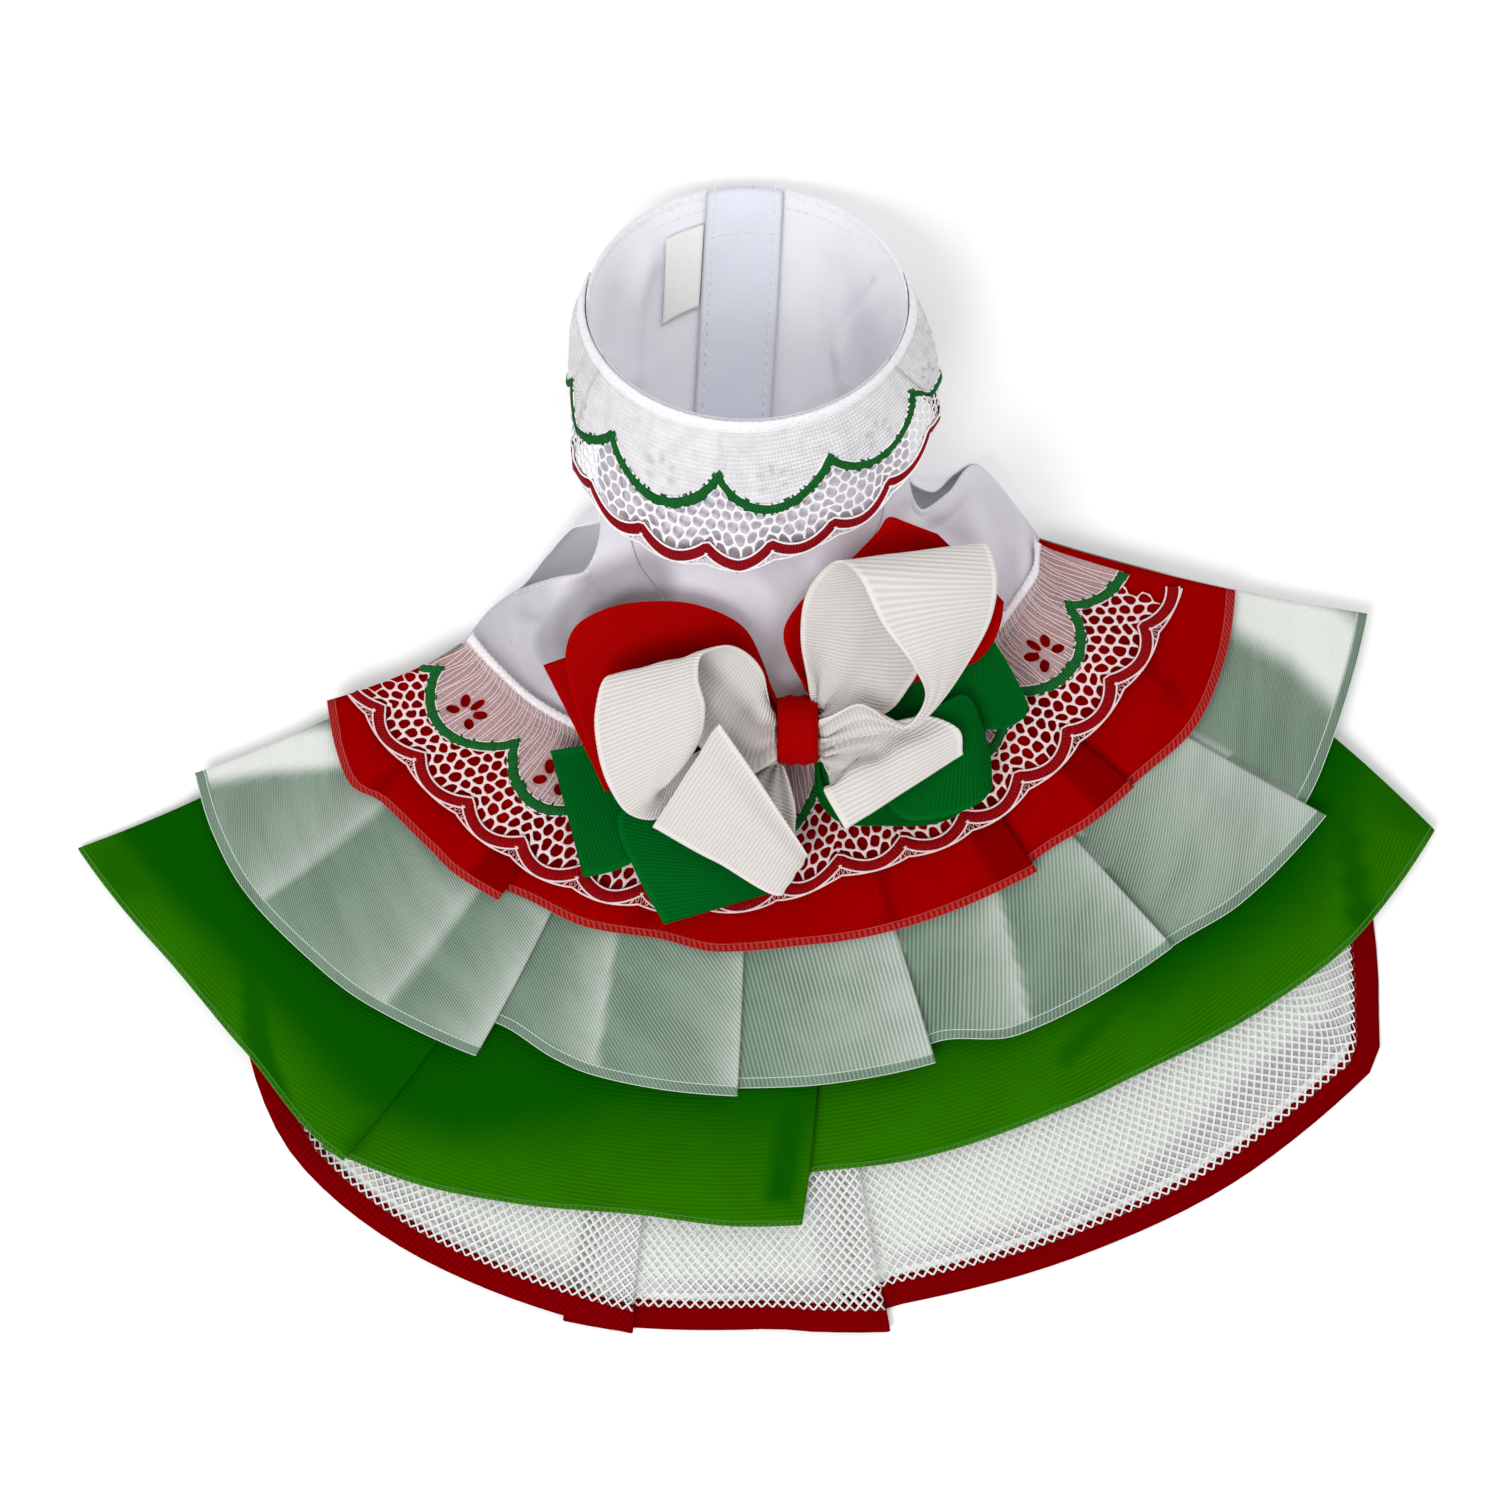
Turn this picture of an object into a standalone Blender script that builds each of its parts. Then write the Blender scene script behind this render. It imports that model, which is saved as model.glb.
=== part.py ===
"""China poblana dress in a small dog's size, laid flat with its belly side down.

The frame has +X to the dress's right, +Y towards the neck and +Z up from the table. Sizes and tables are in
millimetres, and the meshes are in metres.
"""
import math

import bmesh
import bpy
import numpy as np
from mathutils import Matrix

MM = 0.001
CLOTH = 1.0  # wall of every cloth piece
SEAM = 0.35  # gap between pieces that are sewn or lie together
STACK = CLOTH + SEAM  # from the middle of one layer to the middle of the next

# The skirt fans out about this point, which lies under the neck
FAN = (-11.3, 103.2)
ROW_SHIFT = (0.0, 1.0)  # puts the row's origin under the middle of the whole dress

# Skirt layers from the table up: middle height at the skirt's two ends and between them
LAYER_HEIGHTS = {
    "net": (1.85, 1.85),
    "green": (3.3, 5.9),
    "white": (6.1, 9.95),
    "red": (8.9, 14.0),
    "lace": (10.3, 18.05),
}
ENDS = (217.0, 233.0, 326.0, 337.0)  # the layers swell between the first two angles and sink between the last

WAIST_COLUMNS = ("angle", "radius")
WAIST = [
    (200, 103),
    (222.6, 103),
    (228, 104),
    (241, 106.5),
    (280, 106),
    (323, 109),
    (330, 109),
    (338.3, 103),
    (352, 103),
]

# A row for each bend of a hem, walked from left to right. Two rows with one angle are a fold, where the cloth
# turns back from one level to the next. Drop is how far the hem hangs below the layer's own height.
HEM_COLUMNS = ("angle", "radius", "level", "drop")
NET_HEM = [
    (226, 204, 0, 0.7),
    (233.4, 237, 0, 1.3),
    (240.9, 258, 0, 1.3),
    (249, 267.5, 0.6, 1.3),
    (255, 271.5, 1.2, 1.3),
    (259.6, 274, 2, 1.3),
    (264.5, 277, 2, 1.3),
    (264.5, 277, 1, 1.3),
    (260.5, 276.2, 1, 1.3),
    (260.5, 276.2, 0, 1.3),
    (266, 275.5, 0, 1.3),
    (273, 275, 1.2, 1.3),
    (276.2, 277, 2, 1.3),
    (280.4, 280, 2, 1.3),
    (280.4, 280, 1, 1.3),
    (277, 277, 1, 1.3),
    (277, 277, 0, 1.3),
    (281.5, 273, 0, 1.3),
    (293, 275, 0.6, 1.3),
    (305.7, 278, 0.2, 1.3),
    (314.7, 278, 0.4, 1.3),
    (318.3, 265, 0, 1.3),
    (323.2, 244, 0, 1.3),
    (331.8, 208, 0, 0.7),
]
GREEN_HEM = [
    (217.2, 231.5, 0, 2),
    (214.5, 232, 0, 2),
    (214.5, 232, 1, 2),
    (223.7, 232, 1, 1),
    (233.2, 237, 1.4, 0),
    (241, 247.6, 2, 0),
    (243.3, 249.8, 2, 0),
    (243.3, 249.8, 1, 0),
    (241.9, 249.4, 1, 0),
    (241.9, 249.4, 0, 0),
    (248, 248, 0, 0),
    (255.9, 244, 0.8, 0),
    (264.4, 241, 0.6, 0),
    (271.4, 243.2, 2, 0),
    (275.7, 244, 2, 0),
    (275.7, 244, 1, 0),
    (272.4, 236, 1, 0),
    (272.4, 236, 0, 0),
    (277.2, 229, 0, 0),
    (285, 231, 0.3, 0),
    (295, 232, 0.8, 0),
    (298.5, 233, 1.6, 0),
    (301.8, 234, 0.8, 0),
    (313, 242, 0.4, 0),
    (321, 247, 1, 0.5),
    (329.5, 248, 1, 2),
    (329.5, 248, 0, 2),
    (326.6, 247, 0, 2),
]
WHITE_HEM = [
    (218.2, 193, 0, 0),
    (215, 190, 0, 0),
    (215, 190, 1, 0),
    (219.7, 196, 1, 0),
    (225.6, 201, 0.8, 0),
    (231.9, 203, 1.4, 0),
    (239.3, 205, 2, 0),
    (249.3, 205, 2, 0),
    (249.3, 205, 1, 0),
    (240.9, 199, 1, 0),
    (240.9, 199, 0, 0),
    (250.2, 194, 0, 0),
    (256, 199, 1.4, 0),
    (259, 201, 2, 0),
    (271.4, 204, 2, 0),
    (271.4, 204, 1, 0),
    (259.5, 201, 1, 0),
    (259.5, 201, 0, 0),
    (272.6, 202, 0, 0),
    (279.2, 203, 2, 0),
    (288.2, 204.5, 2, 0),
    (288.2, 204.5, 1, 0),
    (281.4, 200, 1, 0),
    (281.4, 200, 0, 0),
    (289, 199, 0, 0),
    (295.6, 206, 2, 0),
    (310, 209, 2, 0),
    (310, 209, 1, 0),
    (296.6, 204, 1, 0),
    (296.6, 204, 0, 0),
    (311, 209.5, 0, 0),
    (316.5, 213.5, 2, 0),
    (326, 217, 2, 0),
    (326, 217, 1, 0),
    (317.2, 212, 1, 0),
    (317.2, 212, 0, 0),
    (327, 210, 0, 0),
    (332, 207.5, 0.3, 0),
    (342.6, 203, 0, 0),
]
RED_HEM = [
    (216.7, 145, 0, 0),
    (221.8, 152, 0.3, 0),
    (226.1, 156, 0.9, 0),
    (229.3, 153.5, 0.1, 0),
    (237, 156, 1.2, 0),
    (240, 158, 2, 0),
    (245.7, 159.5, 2, 0),
    (245.7, 159.5, 1, 0),
    (241.6, 157, 1, 0),
    (241.6, 157, 0, 0),
    (248, 156, 0.2, 0),
    (256, 158.5, 1.2, 0),
    (263, 158, 0.3, 0),
    (270, 161, 1.3, 0),
    (277, 161, 0.2, 0),
    (285, 162.5, 1.2, 0),
    (292.8, 164, 0.7, 0),
    (298.6, 165, 2, 0),
    (304.3, 166.5, 2, 0),
    (304.3, 166.5, 1, 0),
    (300.4, 164, 1, 0),
    (300.4, 164, 0, 0),
    (306.5, 163.5, 0.1, 0),
    (312.2, 165.5, 2, 0),
    (317.4, 166.5, 2, 0),
    (317.4, 166.5, 1, 0),
    (313.4, 164, 1, 0),
    (313.4, 164, 0, 0),
    (320, 167, 0.2, 0),
    (326.4, 170, 1, 0),
    (333.7, 168, 0.2, 0),
    (340.7, 163, 0, 0),
]
LACE_HEM = [
    (217.4, 137, 0, 0),
    (222.6, 138, 0.1, 0),
    (231.7, 140, 0.5, 0),
    (241, 144, 0.1, 0),
    (249, 147, 0.6, 0),
    (257.5, 148.5, 0.1, 0),
    (266, 148.5, 0.7, 0),
    (275, 147, 0.1, 0),
    (285.4, 142.5, 0.6, 0),
    (294.4, 144, 0.1, 0),
    (302.8, 145.5, 0.6, 0),
    (311, 145, 0.1, 0),
    (320, 145, 0.6, 0),
    (330, 146, 0.1, 0),
    (339, 146.5, 0, 0),
]
LACE_WAIST = (223.2, 336.9)  # angles of the lace's two ends at the waist
LACE_LAP = 0.33  # section of the bodice up to which the lace's top laps over it
WAIST_ENDS = (222.6, 338.3)  # angles of the ends of the waist seam

BINDING_WIDTH = 8.5
SIDE_STEPS = 5  # points along each side of the petticoat
SIDE_DROP = 1.25  # the petticoat's sides sink this far to the table
SIDE_INSET = 2.3  # degrees by which the petticoat stops short of the waist's right end
PLEATED = (240, 300)  # between these angles the petticoat's edge is read as an arc about the fan's middle
PETTICOAT_MIDDLE = (279, 190)  # angle and radius of a point well inside the petticoat
NET_DROP = 12  # the net sinks to the table over this last stretch
LINING_SHORT = 24.5  # the lining ends this far inside the petticoat's edge
LINING_ENDS = (231.0, 325.0)  # angles of the lining's sides at its hem, and then at the waist
LINING_WAIST = (228.2, 330.3)
SCALLOP = 21  # from one point of the lace's edge to the next
SCALLOP_DEPTH = 4.5
LACE_WIDTH = 46  # of the neck lace, down the slope of the back

# A row for each section through the bodice, from the waist seam to the neck. The back runs over its ridge from
# its left to its right edge, and the belly side from edge to edge over its middle, which lies on the table.
# Round says how full the curve is: 1 is half an ellipse. Flat is the share of the belly side that lies flat.
SECTION_COLUMNS = ("back: left, ridge, right", "belly: left, middle, right", "round, flat")
SECTIONS = [
    # waist seam, whose back edge follows the skirt, and the belly side's own hem
    (
        ((-87, 34, 8.2), (7.2, -1, 18.2), (84, 65, 8.2)),
        ((-86.8, 34.4, 6.8), (2, 42, 0.5), (83.8, 65.3, 6.8)),
        (1.5, 0.6),
    ),
    (
        ((-78.5, 44, 8.5), (6, 13, 25), (78, 73.5, 8.5)),
        ((-78.3, 44.4, 7.1), (2, 50, 0.5), (77.8, 73.9, 7.1)),
        (1.4, 0.6),
    ),
    # outer ends of the armholes
    (
        ((-70, 49.5, 11), (5, 26, 30), (65, 86.5, 11)),
        ((-70.2, 50, 9.5), (1, 60, 0.5), (65, 87, 9.5)),
        (1.3, 0.6),
    ),
    (
        ((-58.5, 52.5, 23), (3.5, 39, 34), (56.5, 77.5, 22)),
        ((-62, 60, 9), (1, 72, 0.5), (59, 84, 8)),
        (1.15, 0.6),
    ),
    (
        ((-51, 53.5, 30), (2.5, 50, 38.5), (48.5, 72, 30)),
        ((-53, 68, 14), (0, 86, 0.5), (52, 78, 14)),
        (1.0, 0.65),
    ),
    # inner ends of the armholes, where the neck tube starts
    (
        ((-45, 67, 36), (1, 62, 45), (44.5, 79, 36)),
        ((-45.3, 68, 34.9), (-1, 102, 0.5), (44.7, 80, 34.9)),
        (0.95, 0.75),
    ),
    (
        ((-46, 98, 37.7), (-1, 78, 55.5), (43.5, 105, 37.7)),
        ((-46, 98.15, 37.3), (-2, 136, 0.6), (43.5, 105.15, 37.3)),
        (1.0, 0.9),
    ),
    (
        ((-49, 132, 37.6), (-2.6, 94.6, 70), (43.8, 132, 37.6)),
        ((-49, 132.2, 37.25), (-2.6, 170.6, 4), (43.8, 132.2, 37.25)),
        (1.0, 1.0),
    ),
]
PRINCESS_COLUMNS = ("section", "share of the way across")
PRINCESS = [(0, 0.4), (1, 0.39), (3, 0.345), (4, 0.30), (5, 0.20), (6, 0.17), (7, 0.155)]

# Soft folds of the back: section and share across of its middle, reach along and across, and depth
FOLD_COLUMNS = ("section", "across", "reach along", "reach across", "turn", "depth")
BACK_FOLDS = [
    (2.2, 0.13, 1.6, 0.035, 0.05, 2.2),
    (1.6, 0.24, 1.3, 0.04, 0.04, -1.6),
    (3.1, 0.20, 1.0, 0.035, 0.05, -1.6),
    (2.6, 0.87, 1.3, 0.04, -0.04, -2.0),
    (1.5, 0.83, 1.2, 0.04, 0.03, 1.4),
    (5.6, 0.42, 1.2, 0.06, 0.05, -1.2),
]
CHEST_FOLDS = [
    (6.2, 0.80, 1.0, 0.05, -0.05, 2.6),
    (5.7, 0.70, 1.2, 0.04, -0.06, 1.4),
    (6.4, 0.24, 1.0, 0.05, 0.03, 1.8),
]

PLACKET_WIDTH = 23.5
PLACKET_COLUMNS = ("section", "middle x")
PLACKET_LINE = [(0, -9), (4, -8), (5, -7), (6, -5), (7, -3.2)]
LABEL = (6.05, 6.72, 11.5)  # from section, to section, width
OPENING_LINE = 2.0  # the belly panels meet this far right of the placket's middle

# The bow: points are from the middle of the knot, heights from the table where the waist seam lies
KNOT = (12.0, 7.5)
KNOT_SIZE = (11.0, 19.5, 21.5)  # along the waist, up the back, and high
KNOT_FOOT = 22.2
BOW_LEAN = 0.13  # the bow leans on the rising back

RIBBON_COLUMNS = ("edge x, y, z", "other edge x, y, z", "bulge")
RIBBONS = {
    "bow_green_loop_left": [
        ((-54, -7, 22.3), (-44, -35, 21.8), 0),
        ((-66, -6, 22.2), (-56, -40, 21.7), 0),
        ((-72, -6, 23.6), (-62.5, -43, 22.9), 0),
        ((-66, -5, 25.2), (-53, -41, 24.3), 0),
        ((-50, -3, 25.6), (-42, -32, 25), 1),
        ((-30, -1, 26.2), (-29, -12, 26), 0.6),
        ((-6, 1, 27.6), (-6, -6, 27.4), 0.5),
    ],
    "bow_green_tail_left": [
        ((-6.2, -5.5, 25.2), (-6.1, -8.8, 25.2), 0),
        ((-28, -15.5, 28), (-8, -20, 25.2), 0),
        ((-52, -24, 27.6), (-13, -34, 26.6), 1.5),
        ((-47, -42, 25.4), (-6, -43, 24.6), 2),
        ((-39, -57, 21.4), (-4, -46.5, 22.6), 1),
    ],
    "bow_green_tail_right": [
        ((6, 8, 26.6), (6, 1, 26.6), 0.5),
        ((22, 15, 26.6), (24, 1, 26), 1),
        ((38, 24, 26.4), (42, 4, 25.2), 1),
        ((53, 30, 26), (55, 0.5, 23.6), 1.5),
        ((61, 20, 26), (62, 1, 23.4), 1),
        ((67.5, 8, 24.6), (67, 4, 24.2), 0),
    ],
    "bow_green_loop_right": [
        ((6, -5.5, 25.4), (5.9, -8.5, 25), 0),
        ((13, -12, 23.6), (6, -19, 23), 0),
        ((24, -10, 22.8), (11, -26, 22), 0),
        ((38, -8, 22.3), (24, -28, 21.8), 0),
        ((50, -8, 22.8), (46, -25.5, 22), 0),
        ((56.5, -8, 25.6), (57, -16, 25.2), 0.5),
        ((52, 6, 29.4), (54, -20.5, 29.2), 2),
        ((40, 7, 31), (32, -26, 31), 2),
        ((27, 1, 30.2), (24, -19, 30.4), 0.5),
    ],
    "bow_red_tail_left": [
        ((-74, 19, 24.6), (-53, 26, 27), 1),
        ((-64, -1, 27), (-44, 6, 27.6), 1),
        ((-56, -18, 27.8), (-37, -15, 28), 0.5),
    ],
    "bow_red_loop_left": [
        ((-6, 9, 31), (-6, 2, 30.2), 0.5),
        ((-10, 20, 31.6), (-16, 7, 30), 1.5),
        ((-16, 30, 32.5), (-24, 13, 29.8), 2),
        ((-29, 36, 33.4), (-31, 18, 29.8), 2.5),
        ((-42, 37, 33.4), (-39, 19, 29.8), 3),
        ((-55, 35, 33), (-45, 16, 30), 3),
        ((-64, 30, 32), (-48, 10, 30.2), 2.5),
        ((-67, 23, 30.6), (-46, 3, 30.2), 2),
        ((-64, 5, 30.2), (-43, -5, 30), 1.5),
        ((-59, -9, 29.8), (-39, -13, 29.6), 0.8),
        ((-53.5, -19, 29.6), (-36, -19, 29.5), 0.3),
    ],
    "bow_red_loop_right": [
        ((6.6, 9.4, 31), (6.2, 4.5, 30.6), 0.5),
        ((-1, 19, 32), (15, 10, 30), 1),
        ((-4, 27, 32.4), (27, 12, 29.4), 1.5),
        ((0, 36, 32.4), (38, 15, 29), 2),
        ((11, 45, 32.6), (48, 18, 28.8), 2.5),
        ((23, 57, 32.6), (55, 23, 28.9), 2.5),
        ((26.5, 61, 32.6), (57.5, 27, 29.2), 2.2),
        ((31, 59.4, 33.6), (58.8, 31, 29.8), 2),
        ((40, 56, 35), (59.5, 37, 31.6), 1.5),
    ],
    "bow_white_loop_left": [
        ((-6, -6.5, 34.2), (-6, 5.5, 36), 0.8),
        ((-15, -13, 33.6), (-8, 10, 38), 0.2),
        ((-24, -9, 33.8), (-10, 16, 40.5), -0.8),
        ((-33, 1, 35), (-14.5, 21.5, 43), -0.8),
        ((-47, 14, 38.5), (-22, 23.6, 46), -0.4),
        ((-55, 15, 43), (-27.5, 21, 50), 1),
        ((-58, 6, 44), (-28.5, 15, 52), 2.5),
        ((-57.5, -6, 43), (-26.5, 6, 51.5), 3.5),
        ((-54, -17, 40.5), (-29, -5, 49), 3),
        ((-49, -24, 37), (-36, -14, 44.5), 1.5),
        ((-43, -26, 33.4), (-37, -13, 35), 0),
        ((-30, -20, 31.2), (-26, -5, 31.6), 0),
        ((-15, -12, 30.6), (-15, -6.5, 31), 0),
        ((-6, -7.6, 30.6), (-6, -4.2, 31.2), 0),
    ],
    "bow_white_loop_right": [
        ((6, 2.5, 35), (6, 9, 35.8), 0.8),
        ((24, 4, 34.6), (1.5, 22, 36.4), 0),
        ((33, 13.5, 34.6), (1, 32, 36.4), 0),
        ((41, 32, 36.6), (4, 42, 38.8), 0),
        ((53.5, 53, 42.6), (13, 47.5, 45), 1),
        ((56, 46, 46.6), (17, 43.5, 50), 3),
        ((55, 32, 46), (24, 30, 51), 3),
        ((48.5, 19, 44), (33, 18, 50), 2),
        ((42, 9, 42), (36.5, 9.5, 46.5), 0.5),
        ((35.5, 2, 40), (31, 1.2, 42.6), 0),
        ((21, -2, 38.6), (18, 8, 41.6), 0),
        ((6, -4.2, 38), (6, 1, 40), 0),
    ],
    "bow_white_tail_left": [
        ((-7, -8.8, 28), (-4, -9.6, 28.8), 0),
        ((-15, -16, 28.5), (-1, -21, 28.8), 0.4),
        ((-7, -36, 27.6), (0, -33, 27.8), 0),
        ((-4, -46, 27.6), (3, -36.5, 29), 0.3),
        ((-24, -38, 33), (-9, -18, 42), 2.5),
        ((-42, -28, 35.6), (-22.5, 2, 54), 2),
    ],
    "bow_white_tail_right": [
        ((6, -5.4, 33.6), (6, -9, 33), 0.8),
        ((24, 1.5, 32.6), (9, -13.5, 32), 0.5),
        ((38, 4, 33.4), (9, -15.5, 33), -1),
        ((45, 1.5, 37.4), (7.5, -16.5, 36.5), -0.5),
        ((48, -7, 36.8), (14, -29, 34.4), 1),
    ],
}
PINCHED = ("bow_white_loop_left", "bow_white_loop_right", "bow_white_tail_right")
PINCH_DEPTH = 1.1
PINCH_REACH = 12.0

COLOURS = {
    "poplin_white": ((0.77, 0.76, 0.83), 0.75),
    "lace_white": ((0.86, 0.85, 0.89), 0.85),
    "label_white": ((0.85, 0.85, 0.84), 0.6),
    "organza_red": ((0.58, 0.0, 0.0), 0.45),
    "organza_white": ((0.72, 0.78, 0.75), 0.45),
    "organza_green": ((0.03, 0.22, 0.01), 0.45),
    "net_white": ((0.83, 0.84, 0.83), 0.6),
    "binding_red": ((0.27, 0.0, 0.01), 0.6),
    "grosgrain_white": ((0.83, 0.83, 0.80), 0.55),
    "grosgrain_red": ((0.51, 0.0, 0.0), 0.55),
    "grosgrain_green": ((0.0, 0.16, 0.03), 0.55),
}


def glide(knots, values, at):
    """A smooth line through the values that never overshoots them, read at each place in at."""
    knots = np.asarray(knots, float)
    values = np.asarray(values, float)
    at = np.clip(np.asarray(at, float), knots[0], knots[-1])
    gaps = np.diff(knots)
    shape = (-1,) + (1,) * (values.ndim - 1)
    rise = np.diff(values, axis=0) / gaps.reshape(shape)
    slope = np.zeros_like(values)
    if len(knots) > 2:
        same = rise[:-1] * rise[1:] > 0
        total = np.where(same, rise[:-1] + rise[1:], 1)
        slope[1:-1] = np.where(same, 2 * rise[:-1] * rise[1:] / total, 0)
    slope[0], slope[-1] = rise[0], rise[-1]
    place = np.clip(np.searchsorted(knots, at, side="right") - 1, 0, len(gaps) - 1)
    span = gaps[place].reshape(shape)
    part = ((at - knots[place]) / gaps[place]).reshape(shape)
    start, end = values[place], values[place + 1]
    lead, trail = slope[place] * span, slope[place + 1] * span
    bend = (2 * start - 2 * end + lead + trail) * part**3
    return bend + (3 * end - 3 * start - 2 * lead - trail) * part**2 + lead * part + start


def soft_step(share):
    share = np.clip(share, 0, 1)
    return share * share * (3 - 2 * share)


def waist_radius(angle):
    knots, radii = zip(*WAIST)
    return glide(knots, radii, np.atleast_1d(angle))


def layer_height(layer, angle):
    """Middle height of a layer of the skirt, which sinks where the stack of pleats thins out."""
    low, high = LAYER_HEIGHTS[layer]
    full = soft_step((angle - ENDS[0]) / (ENDS[1] - ENDS[0]))
    full = full * soft_step((ENDS[3] - angle) / (ENDS[3] - ENDS[2]))
    return low + (high - low) * full


def walk_hem(rows, spacing):
    """Angle, radius, lift, drop and sideways bulge of each column of a pleated hem."""
    columns = []
    runs, run = [], [rows[0]]
    for row in rows[1:]:
        if row[0] == run[-1][0]:
            runs.append(run)
            run = []
        run.append(row)
    runs.append(run)
    for index, run in enumerate(runs):
        angles = np.array([row[0] for row in run], float)
        way = 1 if angles[-1] > angles[0] else -1
        steps = max(2, math.ceil(abs(angles[-1] - angles[0]) / spacing))
        at = np.linspace(angles[0], angles[-1], steps + 1)
        read = glide(angles * way, [row[1:] for row in run], at * way)
        columns += [(a, r, level * STACK, drop, 0.0) for a, (r, level, drop) in zip(at, read)]
        if index + 1 < len(runs):
            turn = runs[index + 1][0]
            middle = (run[-1][2] + turn[2]) / 2 * STACK
            half = (run[-1][2] - turn[2]) / 2 * STACK
            for share in (0.25, 0.5, 0.75):
                lean = math.pi * (0.5 - share)
                bulge = way * abs(half) * math.cos(lean)
                columns.append((turn[0], turn[1], middle + half * math.sin(lean), turn[3], bulge))
    return np.array(columns)


def skirt_points(layer, columns, shares, waist_ends, drop_reach):
    """Points of a skirt layer, a row for each share of the way from the waist to the hem."""
    angle, radius, lift, drop, bulge = columns.T
    low, high = angle.min(), angle.max()
    waist_angle = waist_ends[0] + (angle - low) / (high - low) * (waist_ends[1] - waist_ends[0])
    inner = waist_radius(waist_angle) + SEAM
    points = []
    for share in shares:
        turned = waist_angle + (angle - waist_angle) * share
        out = inner + (radius - inner) * share
        turned = turned + np.degrees(bulge / out)
        fall = drop * soft_step(1 - (radius - out) / drop_reach)
        height = layer_height(layer, turned) + lift - fall
        spot = np.radians(turned)
        row = np.stack([FAN[0] + out * np.cos(spot), FAN[1] + out * np.sin(spot), height], axis=1)
        points.append(row)
    return np.array(points)


def petticoat_outline():
    """Outer edge of the petticoat: down the left side, along the hem with its pleats and up the right side."""
    hem = walk_hem(NET_HEM, 4.0)
    shares = np.linspace(0, 0.85, SIDE_STEPS)
    left = [(WAIST_ENDS[0] + (hem[0][0] - WAIST_ENDS[0]) * share, share) for share in shares]
    top = WAIST_ENDS[1] - SIDE_INSET
    right = [(top + (hem[-1][0] - top) * share, share) for share in shares[::-1]]
    columns = []
    for turned, share in left:
        inner = waist_radius(turned)[0] + CLOTH
        columns.append((turned, inner + (hem[0][1] - inner) * share, 0, SIDE_DROP * share, 0))
    columns += [tuple(row) for row in hem]
    for turned, share in right:
        inner = waist_radius(turned)[0] + CLOTH
        columns.append((turned, inner + (hem[-1][1] - inner) * share, 0, SIDE_DROP * share, 0))
    return np.array(columns)


def edge_and_inward(outline):
    """The outline's points and, at each, the direction into the petticoat."""
    angle, radius, lift, drop, bulge = outline.T
    spot = np.radians(angle)
    radial = np.stack([np.cos(spot), np.sin(spot)], axis=1)
    edge = np.array(FAN) + radius[:, None] * radial
    turned, out = math.radians(PETTICOAT_MIDDLE[0]), PETTICOAT_MIDDLE[1]
    middle = np.array(FAN) + out * np.array([math.cos(turned), math.sin(turned)])
    inward = np.zeros_like(edge)
    for i in range(len(edge)):
        ahead = edge[min(i + 2, len(edge) - 1)] - edge[max(i - 2, 0)]
        along = ahead / max(np.linalg.norm(ahead), 1e-9)
        side = np.array([-along[1], along[0]])
        if side @ (middle - edge[i]) < 0:
            side = -side
        folded = abs(bulge[i]) > 0 or PLEATED[0] < angle[i] < PLEATED[1]
        inward[i] = -radial[i] if folded else side
    return edge, inward


def petticoat_binding_points():
    """A strip along the petticoat's edge, as wide as the binding."""
    outline = petticoat_outline()
    edge, inward = edge_and_inward(outline)
    angle, radius, lift, drop, bulge = outline.T
    spot = np.radians(angle)
    top = LAYER_HEIGHTS["net"][0] - drop + lift
    across = []
    for share in (0, 0.5, 1):
        flat = edge + inward * BINDING_WIDTH * share
        flat = flat + np.stack([-np.sin(spot), np.cos(spot)], axis=1) * bulge[:, None]
        across.append(np.column_stack([flat, top]))
    return np.array(across)


def rib(a):
    return np.sin(np.pi * a)


def section_points(a, back):
    """Each section's points at the shares a of the way across, for the back or for the belly side."""
    rows = []
    for index, (back_side, belly_side, (full, flat)) in enumerate(SECTIONS):
        left, middle, right = (np.array(p, float) for p in (back_side if back else belly_side))
        centre, half = (left + right) / 2, (right - left) / 2
        line = centre[None, :] - half[None, :] * np.cos(np.pi * a)[:, None]
        if back and index == 0:
            angle = WAIST_ENDS[0] + (WAIST_ENDS[1] - WAIST_ENDS[0]) * a
            out = waist_radius(angle) - SEAM / 2
            spot = np.radians(angle)
            height = layer_height("lace", angle) - STACK
            rows.append(np.stack([FAN[0] + out * np.cos(spot), FAN[1] + out * np.sin(spot), height], axis=1))
            continue
        sag = rib(a) ** full
        points = line + (middle - centre)[None, :] * sag[:, None]
        if not back:
            sink = 1 - np.maximum(0, 1 - rib(a) / flat) ** (1.6 if flat < 1 else 1.0)
            points[:, :2] = line[:, :2] + (middle - centre)[None, :2] * rib(a)[:, None]
            points[:, 2] = line[:, 2] * (1 - sink) + middle[2] * sink
        rows.append(points)
    return np.array(rows)


def body_points(sections, a, back):
    """Points of the bodice's wall: a row for each section number, a column for each share across."""
    sections = np.asarray(sections, float)
    a = np.asarray(a, float)
    if a.ndim == 1:
        a = np.tile(a, (len(sections), 1))
    points = np.empty(a.shape + (3,))
    for i, at in enumerate(sections):
        points[i] = glide(range(len(SECTIONS)), section_points(a[i], back), [at])[0]
    for section, across, along, wide, turn, depth in BACK_FOLDS if back else CHEST_FOLDS:
        off = (sections[:, None] - section) / along
        middle = across + turn * off
        amount = depth * np.exp(-off**2 * 2) * np.exp(-(((a - middle) / wide) ** 2))
        edge = np.clip(np.minimum(a, 1 - a) / 0.06, 0, 1) * soft_step(sections[:, None] / 0.8)
        edge = edge * soft_step((7 - sections[:, None]) / 0.7)
        points[..., 2] += amount * edge
    if not back:
        points[..., 2] = np.maximum(points[..., 2], CLOTH / 2)
    return points


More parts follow.
